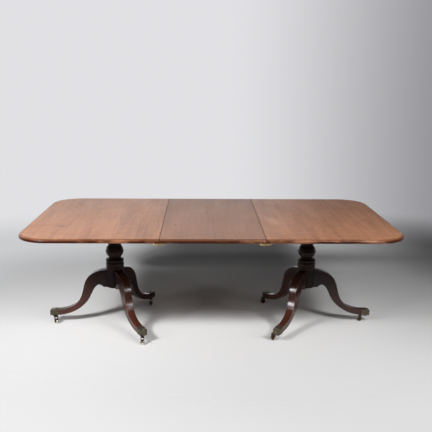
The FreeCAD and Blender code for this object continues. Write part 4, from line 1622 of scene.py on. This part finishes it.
@dataclass
class Studio:
    """The pale floor, the backdrop, the lamps and the camera."""

    floor_radius: float = 6.0
    floor_steps: int = 96
    floor_colour: Triple = (0.87, 0.87, 0.87)
    floor_roughness: float = 0.7
    floor_specular: float = 0.2
    speckle: Pattern = Pattern(3, 0.5)
    speckle_scale: float = 3.0
    speckle_shade: float = 0.985
    speckle_stops: Pair = (0.3, 0.7)
    shade_centre: Triple = (0.3, 0.5, 0.0)
    shade_reach: Triple = (1.6, 1.1, 1.0)
    fade: Pair = (0.6, 1.9)
    # Where the painted shadow on the floor behind the table starts and ends, along X and Y
    dusk_left: Pair = (-1.05, -0.15)
    dusk_near: Pair = (1.2, 1.65)
    dusk_right: Pair = (0.6, 1.0)
    dusk_far: Pair = (2.6, 3.6)
    dusk_side: Pair = (2.2, 3.0)
    dusk_depth: float = 0.8
    dusk_right_share: float = 0.42
    painted_shadow_colour: Triple = (0.0, 0.0, 0.0)
    # What is seen round the floor: the wall, its foot in a painted shade that deepens to the right, and the
    # ground nearer to the camera
    wall: Sweep = Sweep((0.755, 0.755, 0.78), (0.24, 0.24, 0.255), (0.02, 0.42))
    corner: Sweep = Sweep((0.60, 0.605, 0.62), (0.05, 0.05, 0.052), (0.15, 0.34))
    near: Sweep = Sweep((0.87, 0.87, 0.875), (0.74, 0.74, 0.745), (-0.30, 0.40))
    wall_to_corner: Pair = (-0.195, -0.24)
    corner_to_near: Pair = (-0.27, -0.36)
    # What polish and brass mirror: the lit wall, what is above it, and the room before the table
    glow: Sweep = Sweep((0.86, 0.86, 0.87), (0.33, 0.33, 0.34), (0.05, 0.22))
    high: Sweep = Sweep((0.45, 0.45, 0.46), (0.0, 0.0, 0.0), (0.05, 0.20))
    glow_to_high: Pair = (0.16, 0.26)
    dim_room: Triple = (0.07, 0.07, 0.07)
    to_dim_room: Pair = (0.30, -0.10)
    ambient: float = 0.05
    ambient_colour: Triple = (1.0, 1.0, 1.0)
    camera_place: Triple = (-0.0665, -4.1498, 1.5982)
    camera_yaw: float = 0.0233
    camera_pitch: float = 0.2107
    camera_roll: float = 0.0079
    camera_clip: Pair = (0.05, 100.0)
    focal_pixels: float = 667.16
    frame_pixels: float = 432.0
    sensor: float = 36.0
    lamps: tuple[SoftBox, ...] = (
        SoftBox("key_lamp", (-1.906, -2.312, 2.312), (-0.479, -0.33, 0.5), 0.51, 0.51, 7.5, 84.0),
        SoftBox("fill_lamp", (1.95, -2.45, 2.45), (0.9, -0.2, 0.2), 0.44, 0.44, 12.0, 83.0),
        SoftBox("front_lamp", (1.6, -3.5, 4.0), (0.3, -0.5, 0.4), 0.7, 0.7, 6.0, 60.0),
        SoftBox("left_lamp", (-2.6, -2.6, 2.8), (-1.0, 0.5, 0.1), 0.5, 0.5, 16.0, 60.0),
        SoftBox("left_strip", (-3.15, -2.53, 1.68), (0.5, -0.1, 0.33), 0.25, 0.7, 2.0, 60.0),
        SoftBox("right_strip", (3.15, -2.53, 1.72), (-0.5, -0.1, 0.33), 0.25, 0.7, 1.3, 50.0),
    )

    def painted_shadow(self, shader: Shader, place: Socket) -> Socket:
        """How much painted shadow lies on the floor behind the table.

        Args:
            shader: the floor's material.
            place: the place on the floor.

        Returns:
            The socket with the share, from 0 to 1.
        """
        x, y, _ = shader.axes(place)
        share = shader.times(shader.spread(x, *self.dusk_left), shader.spread(y, *self.dusk_near))
        for limit in (shader.spread(x, *self.dusk_right, 1.0, self.dusk_right_share),
                      shader.spread(y, *self.dusk_far, self.dusk_depth, 0.0),
                      shader.spread(x, *self.dusk_side, 1.0, 0.0)):
            share = shader.times(share, limit)
        return share

    def floor(self) -> None:
        """Lays the floor, with a shadow painted on it behind the table; far from the table it fades into the
        backdrop.
        """
        mesh = bmesh.new()
        bmesh.ops.create_circle(mesh, cap_ends=True, segments=self.floor_steps, radius=self.floor_radius)
        made = to_object("floor", mesh)
        shader = Shader("studio_floor")
        place = shader.object_place()
        speckle = shader.pattern(place, self.speckle, scale=self.speckle_scale)
        shaded = tuple(self.speckle_shade * part for part in self.floor_colour)
        paint = shader.ramp(speckle, list(zip(self.speckle_stops, (shaded, self.floor_colour))))
        painted_shadow = self.painted_shadow(shader, place)
        shader.fill(Base_Color=shader.tint(painted_shadow, paint, self.painted_shadow_colour), Roughness=self.floor_roughness,
                      Specular_IOR_Level=self.floor_specular)
        reach = shader.mapped(place, self.shade_reach, self.shade_centre, kind="TEXTURE")
        fade = shader.spread(shader.length(reach), *self.fade)
        clear = shader.node("ShaderNodeBsdfTransparent").outputs[0]
        share = shader.sum_of([(fade, 1.0), (painted_shadow, -1.0)])
        blend = shader.node("ShaderNodeMixShader", {0: share, 1: shader.surface.outputs[0], 2: clear})
        shader.put(shader.tree.nodes["Material Output"].inputs["Surface"], blend.outputs[0])
        made.data.materials.append(shader.material)

    def backdrop(self) -> None:
        """Paints the backdrop: bright on the left, shaded on the right, with a dim room before the table."""
        world = bpy.data.worlds.new("studio")
        bpy.context.scene.world = world
        world.use_nodes = True
        tree = NodeTree(world.node_tree)
        across, back, up = tree.axes(tree.node("ShaderNodeTexCoord").outputs["Generated"])
        sweeps = (self.wall, self.corner, self.near, self.glow, self.high)
        wall, corner, near, glow, high = [sweep.paint(tree, across) for sweep in sweeps]
        seen = tree.tint(tree.spread(up, *self.wall_to_corner), wall, corner)
        seen = tree.tint(tree.spread(up, *self.corner_to_near), seen, near)
        mirrored = tree.tint(tree.spread(up, *self.glow_to_high), glow, high)
        mirrored = tree.tint(tree.spread(back, *self.to_dim_room), mirrored, self.dim_room)
        rays = tree.node("ShaderNodeLightPath").outputs
        light = {"Color": (*self.ambient_colour, 1.0), "Strength": self.ambient}
        result = tree.node("ShaderNodeBackground", light).outputs[0]
        shown = {"Is Glossy Ray": mirrored, "Is Transmission Ray": mirrored, "Is Camera Ray": seen}
        for kind, colour in shown.items():
            paint = tree.node("ShaderNodeBackground", {"Color": colour}).outputs[0]
            result = tree.node("ShaderNodeMixShader", {0: rays[kind], 1: result, 2: paint}).outputs[0]
        tree.put(tree.tree.nodes["World Output"].inputs["Surface"], result)

    def camera(self) -> None:
        """Stands the camera where the photograph was taken from."""
        yaw, pitch, roll = self.camera_yaw, self.camera_pitch, self.camera_roll
        ahead = Vector((math.sin(yaw) * math.cos(pitch), math.cos(yaw) * math.cos(pitch), -math.sin(pitch)))
        level = Vector((math.cos(yaw), -math.sin(yaw), 0))
        raised = level.cross(ahead)
        right = level * math.cos(roll) + raised * math.sin(roll)
        up = raised * math.cos(roll) - level * math.sin(roll)
        lens = bpy.data.cameras.new("camera")
        lens.sensor_width = self.sensor
        lens.lens = self.sensor * self.focal_pixels / self.frame_pixels
        lens.clip_start, lens.clip_end = self.camera_clip
        made = in_scene("camera", lens)
        turned = Matrix((right, up, -ahead)).transposed().to_4x4()
        made.matrix_world = Matrix.Translation(self.camera_place) @ turned
        bpy.context.scene.camera = made

    def build(self) -> None:
        """Sets up the whole studio."""
        self.floor()
        self.backdrop()
        self.camera()
        for lamp in self.lamps:
            lamp.build()
        bpy.context.scene.view_settings.view_transform = "Standard"


def joint_place(name: str) -> Vector:
    """The point of the frame that a joint turns about."""
    return Vector(next(joint["pos_m"] for joint in frame["joints"] if joint["name"] == name))


def main() -> None:
    """Builds the table, piece by piece, and the studio round it."""
    logging.basicConfig(level=logging.INFO, format="%(name)s: %(message)s")
    workshop = Workshop()
    TableTop(workshop).build()
    for side in Side:
        low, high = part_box(side.word + "_block")
        axis_x = (low.x + high.x) / 2
        names = [side.word + "_" + word for word in ("outer", "front", "back")]
        pintles = {name: joint_place(name + "_castor_swivel") for name in names}
        turns = {name: math.atan2(place.y, place.x - axis_x) for name, place in pintles.items()}
        Pillar(workshop, side, axis_x, list(turns.values())).build()
        for name in names:
            leg = Leg(workshop, name, axis_x, turns[name])
            castor = Castor(workshop, name, pintles[name], joint_place(name + "_wheel_spin"))
            leg.dark_reach = SHADE_REACH.get(name, leg.dark_reach)
            # The back legs stand in the top's shadow, so their caps and wheels take the dark fork brass as
            # painted shade
            if name.endswith("back"):
                leg.cap_finishes = (FORK_BRASS, FORK_BRASS)
                castor.wheel_finish = FORK_BRASS
            leg.build()
            castor.build()
        workshop.dress(side.word + "_block", CARCASS_WOOD)
        workshop.dress(side.word + "_strap", STRAP_IRON)
        for depth in ("front", "back"):
            LeafClip(workshop, side.word + "_" + depth).build()
            workshop.dress(side.word + "_" + depth + "_bearer", CARCASS_WOOD)
            workshop.dress(side.word + "_" + depth + "_clip_socket", CLIP_BRASS)
    for node, finish in SMALL_PIECES.items():
        workshop.dress(node, finish)
    Studio().build()


if __name__ == "__main__":
    main()
